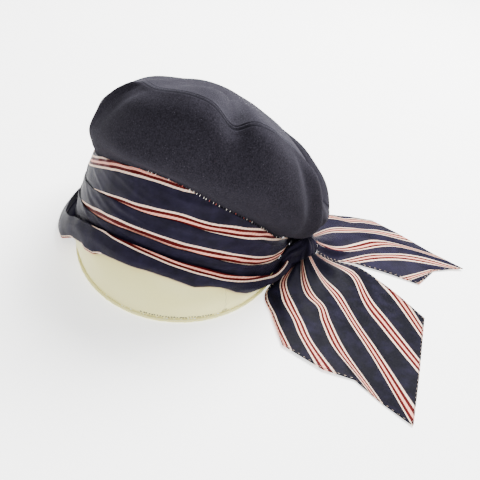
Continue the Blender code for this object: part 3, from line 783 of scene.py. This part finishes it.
# The near tail's silk: darker navy and fewer paler patches, painted shade.
shaded_near_silk = silk_look("striped_silk_near_tail_shaded", wear_and_shade=0.10, gloss=0.03, navy=SILK_DEEP)
far_silk = silk_look("striped_silk_far_tail", wear_and_shade=0.38, gloss=0.02)
satin = satin_look()
thread = thread_look()

CAP_MIDDLE = (BAND_CENTRE[0], BAND_CENTRE[1], 0.055)


# Crown
def crown_wall(turns, levels):
    """Wall of the crown: a smooth curve up through the sections, from below the hem to the tip seam,
    drawn in near PINCH_TURN by a bell shape that grows with the level's fourth power."""
    hem = hem_line(turns)
    knots = np.array([
        band_point(turns, hem - CROWN_HEM_TUCK, 0.0),
        band_point(turns, hem + CROWN_HEM_RISE, CROWN_HEM_OUT),
        crown_section("low", turns),
        crown_section("belly", turns),
        crown_section("shoulder", turns),
        crown_section("seam", turns),
    ])
    wall = hermite(np.array(CROWN_STEPS), knots, levels)
    near = np.exp(-((turns - PINCH_TURN) / PINCH_SPREAD) ** 2)
    reach = PINCH_DEPTH * near * levels[:, None] ** 4
    return wall + reach[..., None] * np.array(PINCH_WAY)


def form_relief(turns, levels):
    """Height of the soft dents and ridges, each a slanted bell shape on turn and level."""
    total = np.zeros((len(levels), len(turns)))
    for row in CROWN_FORMS:
        form = dict(zip(FORM_COLUMNS, row))
        climb = (levels[:, None] - form["level"]) / form["level_spread"]
        away = (turns[None, :] - form["turn"] - form["slant"] * climb + 180) % 360 - 180
        total += form["out"] * np.exp(-(away / form["turn_spread"]) ** 2 - climb ** 2)
    return total


def seam_profile(distance):
    """How deep a panel's edge turns in at a seam, and how dark it gets: bells of the distance."""
    return (SEAM_DIP * np.exp(-(distance / SEAM_ROLL) ** 2),
            np.exp(-(distance / (SEAM_SHADE * SEAM_ROLL)) ** 2))


def build_crown_walls():
    """Front and back panels: the wall, moved along its normals by dents, noise and rolled seam edges."""
    levels = np.concatenate([[0.0], np.linspace(0.10, 0.93, 84), np.linspace(0.94, 1.0, 16)])
    for name, node, first, last, count in (
            ("wool_crown_back", "crown_back", SIDE_SEAMS[0], SIDE_SEAMS[1], BACK_CUTS),
            ("wool_crown_front", "crown_front", SIDE_SEAMS[1], SIDE_SEAMS[0] + 360, FRONT_CUTS)):
        even = np.linspace(0.0, 1.0, count)
        edge = np.array(SEAM_EDGE_SHARES)
        turns = first + (last - first) * np.concatenate([edge, even[1:-1], 1 - edge[::-1]])
        wall = crown_wall(turns, levels)
        normals = surface_normals(wall, CAP_MIDDLE)
        up = steps_apart(wall, 0)
        along = steps_apart(wall, 1)
        from_top = up[-1:] - up
        from_side = np.minimum(along, along[:, -1:] - along)
        top_dip, top_dark = seam_profile(from_top)
        side_dip, side_dark = seam_profile(from_side)
        to_seam = np.clip((1 - levels[:, None]) / 0.08, 0, 1)
        fade = np.clip(levels[:, None] * 4 - 0.6, 0, 1) * to_seam ** 2 * (3 - 2 * to_seam)
        soft = soft_noise(wall[..., 0] / WALL_NOISE_SIZE,
                          (wall[..., 2] + 0.6 * wall[..., 1]) / WALL_NOISE_SIZE, 5, low=0.4, high=1.5)
        relief = (form_relief(turns, levels) + WALL_NOISE * soft) * fade
        wall = wall + normals * (relief - top_dip - side_dip)[..., None]
        mesh = Mesh()
        mesh.add(wall, np.stack([along, up], axis=-1), seam=np.maximum(top_dark, side_dark))
        piece = face_out(mesh.make(name, wool), CAP_MIDDLE)
        settle(thicken(piece, WOOL_WALL), node, slot="navy_wool")


def build_crown_tip():
    """Top panel, drawn in straight lines from its seam to a raised middle, puffed as a parabola and
    dented along its stitching, and the turned-in cloth behind the seam, a tube along it."""
    turns = np.linspace(SIDE_SEAMS[0], SIDE_SEAMS[0] + 360, TIP_CUTS, endpoint=False)
    edge = crown_wall(turns, np.array([1.0]))[0]
    middle = crown_section("seam", np.arange(0.0, 360.0, 22.5)).mean(axis=0) + np.array(TIP_OFFSET)
    shares = np.concatenate([np.linspace(0, 0.10, 22), np.linspace(0.10, 1.0, 62)[1:]])[:, None, None]
    tip = edge + (middle - edge) * shares
    tip[..., 2] += TIP_PUFF * 4 * (shares * (1 - shares))[..., 0]
    normals = surface_normals(tip, CAP_MIDDLE)
    inward = steps_apart(tip, 0)
    dip, dark = seam_profile(inward)
    stitch = np.exp(-((inward - TOPSTITCH_FROM_SEAM) / TOPSTITCH_WIDTH) ** 2)
    spread = np.clip(shares[..., 0] * 5, 0, 1) * (1 - shares[..., 0])
    plan = tip / TIP_NOISE_SIZE
    relief = TIP_NOISE * soft_noise(plan[..., 0], plan[..., 1], 11, low=0.5, high=1.6) * spread
    tip = tip + normals * (relief - dip - TOPSTITCH_DIP * stitch)[..., None]
    tip[-1] = middle
    mesh = Mesh()
    mesh.add(tip, close_columns=True, seam=np.maximum(dark, 0.95 * stitch))
    piece = face_out(mesh.make("wool_crown_tip", tip_wool, weld=WELD), CAP_MIDDLE)
    settle(thicken(piece, WOOL_WALL), "crown_tip", slot="navy_wool")
    rim_wall = surface_normals(crown_wall(turns, np.linspace(0.94, 1.0, 4)), CAP_MIDDLE)[-1]
    inner = rim_wall + normals[0]
    inner /= np.linalg.norm(inner, axis=-1, keepdims=True)
    along_seam = np.roll(edge, -1, axis=0) - np.roll(edge, 1, axis=0)
    along_seam /= np.linalg.norm(along_seam, axis=-1, keepdims=True)
    across = np.cross(along_seam, inner)
    ring = np.linspace(0, 2 * np.pi, 10, endpoint=False)[:, None, None]
    centre = edge - SEAM_CORE_DEPTH * inner
    core = centre + SEAM_CORE_RADIUS * (np.cos(ring) * inner + np.sin(ring) * across)
    mesh = Mesh()
    mesh.add(core, close_rows=True, close_columns=True, seam=1.0)
    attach(outward_faces(mesh.make("wool_seam_allowance", wool)), "root")


# Scarf
def strip_loop(top, bottom, depths, wall, steps=26):
    """Heights and depths round a strip: a half circle at the top, then a face that is a line from the
    top depth to the foot depth plus a bow toward the middle depth, then the same face one wall in."""
    depth_top, depth_middle, depth_low = depths
    radius = wall / 2
    round_top = np.linspace(180, 0, 9)[:, None]
    heights = [top - radius + radius * np.sin(np.radians(round_top))]
    outs = [depth_top - radius + radius * np.cos(np.radians(round_top))]
    for down, inset in ((np.linspace(0, 1, steps + 1)[1:, None], 0.0),
                        (np.linspace(1, 0, 7)[:-1, None], wall)):
        bow = (depth_middle - depth_top) * 4 * down * (1 - down)
        heights.append(top - radius + (bottom - top + radius) * down)
        outs.append(depth_top + bow + (depth_low - depth_top) * down - inset)
    return np.concatenate(heights), np.concatenate(outs)


def wound_strip(mesh, turns, lines, phases, strip, push):
    """Add one strip round the cap, with ripples and pulled creases on its face: lines are its top and
    bottom heights, phases the (height, stripe phase) pairs from the top down."""
    wall, depths, seed = strip
    height, depth = strip_loop(*lines, depths, wall)
    inside = depth < STRIP_INNER
    angle = np.radians(turns)
    ripple = RIPPLE * soft_noise(angle * 3.0, height / RIPPLE_HEIGHT, seed, low=0.5, high=1.6)
    pull = soft_noise(angle * 1.2, (height + PULL_SLANT * angle) / PULL_HEIGHT, seed + 60, count=6,
                      low=0.7, high=1.3)
    ripple += np.where(pull > PULL_FROM, (pull - PULL_FROM) * PULL_OUT, 0.0)
    # Painted shade along the pulled creases, none on the strip's inner layer.
    crease = np.where(inside, 0.0, PULL_SHADE * np.exp(-((pull - 0.25) / 0.16) ** 2) * (pull > 0.1))
    depth = np.maximum(depth + np.where(inside, 0, ripple), STRIP_DEPTH_MIN) + push
    points = band_point(turns, height, depth)
    along = np.radians(np.append(turns, turns[0] + 360)) * BAND_RADIUS
    known = np.array([line for line, phase in phases])[::-1]
    values = np.array([phase for line, phase in phases])[::-1]
    phase = np.empty_like(height)
    for step in range(height.shape[1]):
        phase[:, step] = np.interp(height[:, step], known[:, step], values)
    phase = np.pad(phase, ((0, 1), (0, 1)), mode="wrap")
    uv = np.stack([np.broadcast_to(along, phase.shape), phase], axis=-1)
    mesh.add(points, uv, close_rows=True, close_columns=True, crease=crease, **INNER_CLOTH)


def build_scarf_band():
    """Three strips of the scarf, each from its own line down past the next one's: the folded edge of
    each stands over the one above."""
    turns = np.linspace(SIDE_SEAMS[0], SIDE_SEAMS[0] + 360, BAND_CUTS, endpoint=False)
    hem = hem_line(turns)
    upper, middle, lower, foot = (scarf_line(n, turns) for n in ("upper", "middle", "lower", "foot"))
    swell = BAND_SWELL * round_column(SCARF_ROWS, SCARF_COLUMNS, "swell", turns)
    a_low, b_up, b_low, c_up, c_low = (stripe_line(n, turns) for n in STRIPE_COLUMNS[1:-1])
    a_up = a_low + STRIPE_GROUP * TOP_STRIPE_PITCH
    above = np.full_like(hem, 0.2)
    mesh = Mesh()
    wound_strip(mesh, turns, (hem, upper - STRIP_UNDERLAP * (upper - middle)),
                [(above, -3.0), (a_up, 0.0), (a_low, STRIPE_GROUP), (b_up, 1.0), (b_low, 1 + STRIPE_GROUP),
                 (b_low - 0.05, 1.97)], FIRST_STRIP, swell)
    wound_strip(mesh, turns, (upper, middle - STRIP_UNDERLAP * (middle - lower)),
                [(above, 1.46), (upper, 1.5), (c_up, 2.0), (c_low, 2 + STRIPE_GROUP), (c_low - 0.05, 2.97)],
                SECOND_STRIP, swell)
    wound_strip(mesh, turns, (middle, lower - STRIP_UNDERLAP * (lower - foot)),
                [(above, 2.48), (middle, 2.5), (lower, 2.95), (foot - 0.01, 2.98)], THIRD_STRIP, swell)
    piece = face_out(mesh.make("silk_scarf_band", silk), CAP_MIDDLE)
    return settle(piece, "scarf_band", slot="navy_silk")


def end_caps(mesh, grid, uv):
    """Close both ends of a strip: a fan from each end's loop to its own middle."""
    for end in (0, -1):
        loop = grid[:, end]
        cap = np.stack([loop, np.broadcast_to(loop.mean(axis=0), loop.shape)], axis=1)
        cap_uv = np.stack([uv[:, end], uv[:, end]], axis=1)
        mesh.add(cap, cap_uv, close_rows=True, turned=end == 0, crease=0.0, **INNER_CLOTH)


def build_lower_fold():
    """The loose lowest fold: a strip loop from its top edge to its kinked foot, rippled and standing
    off the band, open at the knot. Inside it the cloth turned under, a layer that sags as a parabola."""
    turns = np.linspace(*FOLD_TURNS, FOLD_CUTS)
    top, foot = scarf_line("lower", turns), scarf_line("foot", turns)
    foot = np.maximum(foot + SCARF_HEIGHT * foot_kink("rise", turns), 0.0)
    stand = FOLD_STAND * round_column(SCARF_ROWS, SCARF_COLUMNS, "stand", turns)
    show = round_column(STRIPE_ROWS, STRIPE_COLUMNS, "show", turns) * SCARF_HEIGHT
    mesh = Mesh()
    height, depth = strip_loop(top, foot, FOLD_DEPTHS, FOLD_WALL)
    angle = np.radians(turns)
    ripple = RIPPLE * soft_noise(angle * 3.0, height / FOLD_RIPPLE_HEIGHT, 31, low=0.5, high=1.6)
    points = band_point(turns, height, depth + ripple + stand + CLEARANCE)
    points[..., 2] = np.maximum(points[..., 2], FLOOR_CLEARANCE)
    first = 3.44 - show / FOLD_STRIPE_PITCH
    phase = first + np.minimum((top - height) / FOLD_STRIPE_PITCH, 3.98 - first)
    phase += (foot_kink("peek", turns) + PEEK_SHARE) * np.clip(1 - (height - foot) / PEEK_HEIGHT, 0, 1)
    phase = np.concatenate([phase, phase[:1]], axis=0)
    along = angle * FOLD_RADIUS
    uv = np.stack([np.broadcast_to(along, phase.shape), phase], axis=-1)
    mesh.add(points, uv, close_rows=True, crease=0.0, **INNER_CLOTH)
    reach = np.concatenate([np.linspace(0, 1, 8), np.linspace(1, 0, 8)])[:, None]
    layer = np.repeat([0.0, TURN_UNDER_WALL], 8)[:, None]
    sag = TURN_UNDER_SAG * 4 * reach * (1 - reach)
    base = foot + TURN_UNDER_RISE * (top - foot)
    under = band_point(turns, np.maximum(base - sag - layer, STRIP_DEPTH_MIN + TURN_UNDER_WALL - layer),
                       TURN_UNDER_START + (FOLD_REACH + stand + CLEARANCE - TURN_UNDER_START) * reach)
    under_uv = np.stack([np.broadcast_to(along, (17, len(turns))), np.full((17, len(turns)), 3.7)], axis=-1)
    # The turned-under layer inside the fold gets painted shade.
    mesh.add(under, under_uv, close_rows=True, crease=0.35, **INNER_CLOTH)
    end_caps(mesh, points, uv)
    end_caps(mesh, under, under_uv)
    piece = outward_faces(mesh.make("silk_scarf_lower_fold", silk, weld=WELD))
    return settle(piece, "scarf_lower_fold", slot="navy_silk")


def build_knot():
    """The knot: a squashed ball with folds running over it to both tails, as an ellipsoid whose size
    waves with the turn and the climb, and two folded necks of cloth that come out of the band."""
    around = np.linspace(0, 2 * np.pi, 120, endpoint=False)[None, :]
    climb = np.linspace(0, np.pi, 61)[:, None]
    fold = KNOT_FOLDS[0] * np.cos(7 * around + 1.4 * np.cos(climb)) * np.sin(climb)
    fold = fold + KNOT_FOLDS[1] * np.cos(13 * around + 2 * climb) * np.sin(climb)
    size = KNOT_SIZE + fold
    x = KNOT_CENTRE[0] + KNOT_RADII[0] * np.sin(climb) * np.cos(around) * size
    y = KNOT_CENTRE[1] + KNOT_RADII[1] * np.sin(climb) * np.sin(around) * size
    z = KNOT_CENTRE[2] + KNOT_RADII[2] * np.cos(climb) * size
    uv_around = np.linspace(0, 0.085, 121)[None, :] + 0 * climb
    uv_across = 0.55 + 0.5 * climb / np.pi + 0.05 * np.cos(3 * np.linspace(0, 2 * np.pi, 121))[None, :]
    mesh = Mesh()
    # Painted shade in the valleys of the knot's folds.
    mesh.add(np.stack([x, y, z], axis=-1), np.stack([uv_around, uv_across], axis=-1), close_columns=True,
             crease=np.clip(-fold * 14, 0, 1), **INNER_CLOTH)
    reach = np.linspace(0, 1, 31)[:, None]
    ring = np.linspace(0, 2 * np.pi, 48, endpoint=False)[None, :]
    ends = (np.minimum(reach / NECK_END_SHARE, 1.0) ** 0.6
            * np.minimum((1 - reach) / NECK_END_SHARE, 1.0) ** 0.6)
    folds = 1 + NECK_FOLD * np.cos(7 * ring + 2.5 * reach)
    wide, high = ((first + (last - first) * reach) * ends * folds
                  for first, last in zip(NECK_START, NECK_END))
    for turn in NECK_TURNS:
        start = band_point(np.array([turn]), np.array([NECK_HEIGHT]), NECK_DEPTH)[0]
        line = start + (np.array(KNOT_CENTRE) - start) * reach
        way = (np.array(KNOT_CENTRE) - start) * np.array([1.0, 1.0, 0.0])
        side = np.cross(way / np.linalg.norm(way), [0.0, 0.0, 1.0])
        tube = line[:, None] + (wide * np.cos(ring))[..., None] * side
        tube[..., 2] = np.maximum(tube[..., 2] + high * np.sin(ring), NECK_FLOOR)
        tube_uv = np.stack([np.broadcast_to(reach * 0.03, (31, 49)), np.full((31, 49), 0.7)], axis=-1)
        # Painted shade in the valleys of the necks' folds.
        mesh.add(tube, tube_uv, close_columns=True, crease=np.clip(1 - folds, 0, 0.1) * 6, **INNER_CLOTH)
    settle(outward_faces(mesh.make("silk_knot", silk, weld=WELD)), "scarf_knot", slot="navy_silk")


def tail_root(rows):
    """Where a tail leaves the knot: just clear of its surface, at the table's turns and climbs."""
    turn = np.radians(column(rows, TAIL_COLUMNS, "root_turn"))
    climb = np.radians(column(rows, TAIL_COLUMNS, "root_climb"))
    way = np.stack([np.cos(turn) * np.cos(climb), np.sin(turn) * np.cos(climb), np.sin(climb)], axis=-1)
    return np.array(KNOT_CENTRE) + (np.array(KNOT_RADII) + TAIL_ROOT_CLEARANCE) * way


def tail_points(rows, waves, cuts, gathers, seed):
    """Underside of a tail: smooth curves through the table's sections in plan, a height that falls
    from the knot as a square, and waves and gathers as cosines across it."""
    knots = column(rows, TAIL_COLUMNS, "across")
    last = len(rows) - 1
    across = np.interp(np.linspace(0, last, cuts + 1), np.arange(last + 1), knots)
    along = np.linspace(0.0, 1.0, cuts + 1)
    root = hermite(knots, tail_root(rows), across)
    sections = [root[:, :2]]
    for part in ("shoulder", "middle", "end"):
        x = KNOT_CENTRE[0] + TAIL_LENGTH * column(rows, TAIL_COLUMNS, part + "_x")
        y = KNOT_CENTRE[1] + TAIL_LENGTH * column(rows, TAIL_COLUMNS, part + "_y")
        soft = hermite(knots, np.stack([x, y], axis=-1), across)
        sharp = np.stack([np.interp(across, knots, x), np.interp(across, knots, y)], axis=-1)
        sections.append(sharp if part == "end" else soft)
    plan = hermite(np.array(TAIL_STEPS), np.array(sections), along)
    fall = np.clip(1 - along / TAIL_FALL, 0.0, 1.0)[:, None] ** 2
    wave = 0.5 - 0.5 * np.cos(2 * np.pi * waves * across)
    fade = np.clip(1.2 * (1 - along), 0.0, 1.0)[:, None]
    height = root[:, 2] * fall + TAIL_WAVE * wave * fade * (1 - fall)
    near = np.clip(1 - along / TAIL_PLEAT_REACH, 0, 1)[:, None] ** 1.5 * np.clip(along * 12, 0, 1)[:, None]
    draw = soft_noise(across[None, :] + 0.1 * along[:, None], along[:, None] * 0.4 + 0 * across, seed,
                      low=0.8, high=2.2)
    height = height + near * TAIL_PLEAT * (1 + np.cos(2 * np.pi * gathers * across)) * 0.5
    height = height + TAIL_NOISE * (1 + draw) * np.clip(along * 3, 0, 1)[:, None]
    return np.concatenate([plan, np.maximum(height, 0.0)[..., None] + TAIL_LIFT], axis=-1), across, along


def stripe_phase(rows, names, across, along, first_value):
    """Stripe phase over a tail: a whole number where a group starts across it, straight between
    starts and carried on past the first and the last."""
    starts = np.array([column(rows, names, name) for name in names[1:]]).T
    at = hermite(column(rows, names, "along"), starts, along)
    values = first_value + np.arange(at.shape[1])
    phase = np.empty((len(along), len(across)))
    for row, places in enumerate(at):
        inner = np.interp(across, places, values)
        before = values[0] + (across - places[0]) / (places[1] - places[0])
        after = values[-1] + (across - places[-1]) / (places[-1] - places[-2])
        phase[row] = np.where(across < places[0], before, np.where(across > places[-1], after, inner))
    return phase


def narrow_groups(phase, share):
    """Squeeze each stripe group from STRIPE_GROUP of the pitch to a smaller share of it."""
    whole = np.floor(phase)
    part = phase - whole
    inside = part / share * STRIPE_GROUP
    outside = STRIPE_GROUP + (part - share) * (1 - STRIPE_GROUP) / (1 - share)
    return whole + np.where(part < share, inside, outside)


def build_tail(name, node, look, rows, waves, gathers, stripe_rows, stripe_names, first_value, seed):
    """One tail of the scarf: the sheet of tail_points with its stripes, painted shade in its creases near
    the knot, its hem, and a wall.
    """
    under, across, along = tail_points(rows, waves, TAIL_CUTS, gathers, seed)
    phase = stripe_phase(stripe_rows, stripe_names, across, along, first_value)
    phase = narrow_groups(phase, np.interp(along, TAIL_GROUP_STEPS, TAIL_GROUP_SHARES)[:, None])
    drawn = np.clip(1 - along / TAIL_GATHER_REACH, 0, 1)[:, None]
    pleat = 0.5 - 0.5 * np.cos(2 * np.pi * gathers * across[None, :])
    length = steps_apart(under, 0)
    width = steps_apart(under, 1)
    from_side = np.minimum(width, width[:, -1:] - width)
    from_end = length[-1:] - length
    mesh = Mesh()
    # Painted shade in the gathers near the knot, deepest in the pleat valleys.
    mesh.add(under + np.array([0, 0, TAIL_WALL]), np.stack([length, phase], axis=-1),
             crease=np.clip(drawn * (0.45 + 0.75 * pleat), 0, 1),
             rim=np.minimum(np.minimum(from_side, from_end) / HEM_REACH, 1.0),
             run=np.where(from_end < from_side, width, length))
    piece = mesh.make(name, look)
    if piece.data.polygons[0].normal.z < 0:
        piece.data.flip_normals()
    return settle(thicken(piece, TAIL_WALL), node, slot="navy_silk")


def peak_rim(turns):
    """The peak's lower edge, part of an oval, and the way straight out of it in plan: the cosine and
    sine of each turn, each over its own half."""
    halves = [HEAD_HALVES[way] + PEAK_REACH[way] for way in (0, 1)]
    edge = oval(turns, (BAND_CENTRE[0] + PEAK_SHIFT, BAND_CENTRE[1]), halves, WELT_RADIUS)
    outward = oval(turns, (0, 0), (1 / halves[0], 1 / halves[1]), 0.0)
    return edge, outward / np.linalg.norm(outward, axis=-1, keepdims=True)


def build_peak():
    """The satin peak: straight lines from the band to its edge, bulged as a parabola, with soft
    puckers and a wavy sewn join, a bell-shaped groove between two bell-shaped shoulders."""
    close = (PEAK_JOIN[0] - PEAK_JOIN_MARGIN, PEAK_JOIN[1] + PEAK_JOIN_MARGIN)
    turns = np.concatenate([np.linspace(PEAK_TURNS[0], close[0], 210)[:-1], np.linspace(*close, 60),
                            np.linspace(close[1], PEAK_TURNS[1], 70)[1:]])
    lift = SCARF_HEIGHT * np.maximum(foot_kink("rise", turns), 0.0)
    root = band_point(turns, scarf_line("foot", turns) + PEAK_ROOT_RISE + lift, PEAK_ROOT_OUT)
    edge, outward = peak_rim(turns)
    brim = edge - outward * (WELT_RADIUS * 0.55)
    shares = np.linspace(0.0, 1.0, 70)[:, None, None]
    bulge = np.array([0.0, 0.0, 0.6]) + 0.8 * outward
    surface = root + (brim - root) * shares + (PEAK_BULGE * 4 * shares * (1 - shares)) * bulge
    surface[..., 2] += PEAK_WALL / 2
    along = steps_apart(surface, 1)
    down = steps_apart(surface, 0)
    share = shares[..., 0]
    pucker = PEAK_PUCKER * soft_noise(along / 0.008, down / 0.05, 41, low=0.5, high=1.5) * share ** 3
    swell = PEAK_SWELL * soft_noise(along / 0.03, down / 0.03, 42, low=0.4, high=1.2)
    swell = swell * share * (1 - share) * 4
    wave = 0.25 * np.sin(down * 2 * np.pi / 0.0045) + 0.15 * np.sin(down * 2 * np.pi / 0.0027 + 1)
    join = PEAK_JOIN[0] + (PEAK_JOIN[1] - PEAK_JOIN[0]) * share + wave
    from_join = np.radians(turns - join) * (HEAD_HALVES[1] + PEAK_REACH[1])
    groove = np.exp(-(from_join / JOIN_GROOVE_WIDTH) ** 2)
    shoulder = np.exp(-((np.abs(from_join) - JOIN_SHOULDER_PLACE) / JOIN_SHOULDER_WIDTH) ** 2)
    gather = PEAK_GATHER * np.sin(turns * 2 * np.pi / 1.7 + 2 * share) * np.exp(-((1 - share) / 0.10) ** 2)
    surface[..., 2] += pucker + swell + JOIN_SHOULDER * shoulder - JOIN_GROOVE * groove + gather
    mesh = Mesh()
    mesh.add(surface, np.stack([along, down], axis=-1), hole=JOIN_SHADE * groove)
    piece = face_out(mesh.make("satin_peak", satin), UNDER_PEAK)
    settle(thicken(piece, PEAK_WALL, even=False), "peak", slot="cream_satin")
    return turns, surface[-LIP_STITCH_ROW]


def build_welt():
    """The rolled lip: a tube of slightly uneven size along the peak's edge, closed at both ends."""
    turns = np.linspace(*PEAK_TURNS, WELT_CUTS)
    edge, outward = peak_rim(turns)
    around = np.linspace(0.0, 2 * np.pi, 14, endpoint=False)[None, :, None]
    uneven = soft_noise(np.radians(turns) * 8, 0 * turns, 43)
    size = WELT_RADIUS * (1.02 + 0.08 * uneven)[:, None, None]
    tube = edge[:, None] + size * (np.cos(around) * outward[:, None] + np.sin(around) * UP)
    tube[..., 2] = np.maximum(tube[..., 2], 0.0)
    mesh = Mesh()
    mesh.add(tube, None, close_columns=True, hole=0.0)
    for end in (0, -1):
        loop = tube[end][None]
        cap = np.concatenate([loop, np.broadcast_to(loop.mean(axis=1, keepdims=True), loop.shape)], axis=0)
        mesh.add(cap, None, close_columns=True, turned=end == -1, hole=0.0)
    settle(outward_faces(mesh.make("satin_peak_welt", satin, weld=WELD)), "peak_welt", slot="cream_satin")


def build_lip_stitches(lip_turns, lip):
    """Dark stitches along the peak, just above the row of its surface beside the lip."""
    draw = np.random.default_rng(8)
    middle = np.linspace(*LIP_STITCH_TURNS, LIP_STITCHES) + draw.uniform(-0.25, 0.25, LIP_STITCHES)
    reach = draw.uniform(0.30, 0.62, LIP_STITCHES)
    turns = middle[:, None] + reach[:, None] * np.linspace(-1, 1, 7)
    above = lip + LIP_STITCH_LIFT * UP
    lines = np.stack([np.interp(turns, lip_turns, above[:, axis]) for axis in range(3)], axis=-1)
    stitch_row("lip_stitches", lines, np.broadcast_to(UP, (LIP_STITCHES, 3)), LIP_STITCH_RADIUS,
               draw.uniform(0.70, 1.0, LIP_STITCHES))


def build_headband():
    """The plain inner band: straight from below the scarf's foot to just under its top edge."""
    turns = np.linspace(0, 360, HEADBAND_CUTS, endpoint=False)
    low = scarf_line("foot", turns) + 2 * CLEARANCE
    high = hem_line(turns) - HEADBAND_TUCK
    height = np.linspace(0, 1, 12)[:, None] * (high - low) + low
    mesh = Mesh()
    mesh.add(band_point(turns, height, -HEADBAND_INSET), close_columns=True, seam=0.0)
    piece = face_out(mesh.make("wool_headband", wool), CAP_MIDDLE)
    settle(thicken(piece, HEADBAND_WALL - HEADBAND_INSET), "headband", slot="navy_wool")


def stitch_row(name, lines, outward, radius, tones):
    """Short stitches as thin tubes, pointed as the sine of half a turn: lines holds each one's own
    points, outward its upper side."""
    way = np.gradient(lines, axis=1)
    way /= np.linalg.norm(way, axis=-1, keepdims=True)
    side = np.cross(way, outward[:, None])
    side /= np.linalg.norm(side, axis=-1, keepdims=True)
    lift = np.cross(side, way)
    point = np.clip(np.sin(np.linspace(0.02, np.pi - 0.02, lines.shape[1])) * 1.6, 0.05, 1.0)
    size = radius * point[None, :, None, None]
    ring = np.linspace(0, 2 * np.pi, STITCH_SIDES, endpoint=False)[None, None, :, None]
    tubes = lines[:, :, None] + size * (np.cos(ring) * side[:, :, None] + np.sin(ring) * lift[:, :, None])
    mesh = Mesh()
    for tube, tone in zip(tubes, tones):
        mesh.add(tube, None, close_columns=True, tone=tone)
    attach(outward_faces(mesh.make(name, thread), STITCH_SIDES), "root")


def build_hem_stitches():
    """Whip stitches that hold the scarf's hem to the crown, each a soft arc over the hem."""
    draw = np.random.default_rng(7)
    turns = np.linspace(*HEM_STITCH_TURNS, HEM_STITCHES) + draw.uniform(-0.4, 0.4, HEM_STITCHES)
    hem = hem_line(turns)
    low, top, high = (band_point(turns + ahead, hem + above, depth + 0 * hem)[:, None]
                      for ahead, above, depth in HEM_STITCH_POINTS)
    share = np.linspace(0, 1, 7)[None, :, None]
    lines = (1 - share) ** 2 * low + 2 * share * (1 - share) * top + share ** 2 * high
    outward = band_point(turns, hem, 1.0) - band_point(turns, hem, 0.0)
    stitch_row("hem_stitches", lines, outward, HEM_STITCH_RADIUS, draw.uniform(0, 1, HEM_STITCHES))


build_crown_walls()
build_crown_tip()
build_headband()
scarf_band = build_scarf_band()
lower_fold = build_lower_fold()
build_knot()
near_tail = build_tail("silk_tail_near", "scarf_tail_near", shaded_near_silk, NEAR_TAIL_ROWS, NEAR_TAIL_WAVES,
                       5.0, NEAR_STRIPE_ROWS, NEAR_STRIPE_COLUMNS, 0.0, 61)
far_tail = build_tail("silk_tail_far", "scarf_tail_far", far_silk, FAR_TAIL_ROWS, FAR_TAIL_WAVES,
                      4.0, FAR_STRIPE_ROWS, FAR_STRIPE_COLUMNS, STRIPE_GROUP, 62)
lip_turns, lip = build_peak()
build_welt()
build_lip_stitches(lip_turns, lip)
build_hem_stitches()


# Floor, light and camera
def floor_and_light():
    """Plain white floor, white surroundings, a soft window light from behind and a weak fill."""
    mesh = bpy.data.meshes.new("floor")
    mesh.from_pydata([(x * FLOOR_HALF, y * FLOOR_HALF, 0) for x, y in ((-1, -1), (1, -1), (1, 1), (-1, 1))],
                     [], [(0, 1, 2, 3)])
    look = Look("white_paper")
    look.finish(FLOOR_LOOK)
    mesh.materials.append(look.material)
    floor = bpy.data.objects.new("floor", mesh)
    bpy.context.scene.collection.objects.link(floor)
    world = bpy.data.worlds.new("studio")
    bpy.context.scene.world = world
    world.use_nodes = True
    background = world.node_tree.nodes["Background"]
    background.inputs["Color"].default_value = (1.0, 1.0, 1.0, 1.0)
    background.inputs["Strength"].default_value = SURROUNDINGS
    for name, place, size, power in LIGHTS:
        data = bpy.data.lights.new(name, "AREA")
        data.size = size
        data.energy = power
        light = bpy.data.objects.new(name, data)
        light.location = place
        light.rotation_mode = "QUATERNION"
        light.rotation_quaternion = (Vector(LIGHT_AIM) - Vector(place)).to_track_quat("-Z", "Y")
        bpy.context.scene.collection.objects.link(light)


def place_camera():
    """Camera at the photograph's angle: looking along +Y, CAMERA_CLIMB above the floor, rolled."""
    climb = math.radians(CAMERA_CLIMB)
    back = np.array([0.0, -math.cos(climb), math.sin(climb)])
    target = np.array(CAMERA_TARGET) + CAP_PLACE
    place = target + CAMERA_DISTANCE * back
    right = np.cross(-back, [0.0, 0.0, 1.0])
    right /= np.linalg.norm(right)
    up = np.cross(right, -back)
    roll = math.radians(CAMERA_ROLL)
    x = right * math.cos(roll) + up * math.sin(roll)
    y = -right * math.sin(roll) + up * math.cos(roll)
    data = bpy.data.cameras.new("camera")
    data.sensor_width = SENSOR_WIDTH
    data.lens = SENSOR_WIDTH * CAMERA_DISTANCE / CAMERA_VIEW_WIDTH
    camera = bpy.data.objects.new("camera", data)
    matrix = Matrix(np.array([x, y, back]).T.tolist()).to_4x4()
    matrix.translation = Vector(place.tolist())
    camera.matrix_world = matrix
    bpy.context.scene.collection.objects.link(camera)
    bpy.context.scene.camera = camera


floor_and_light()
place_camera()
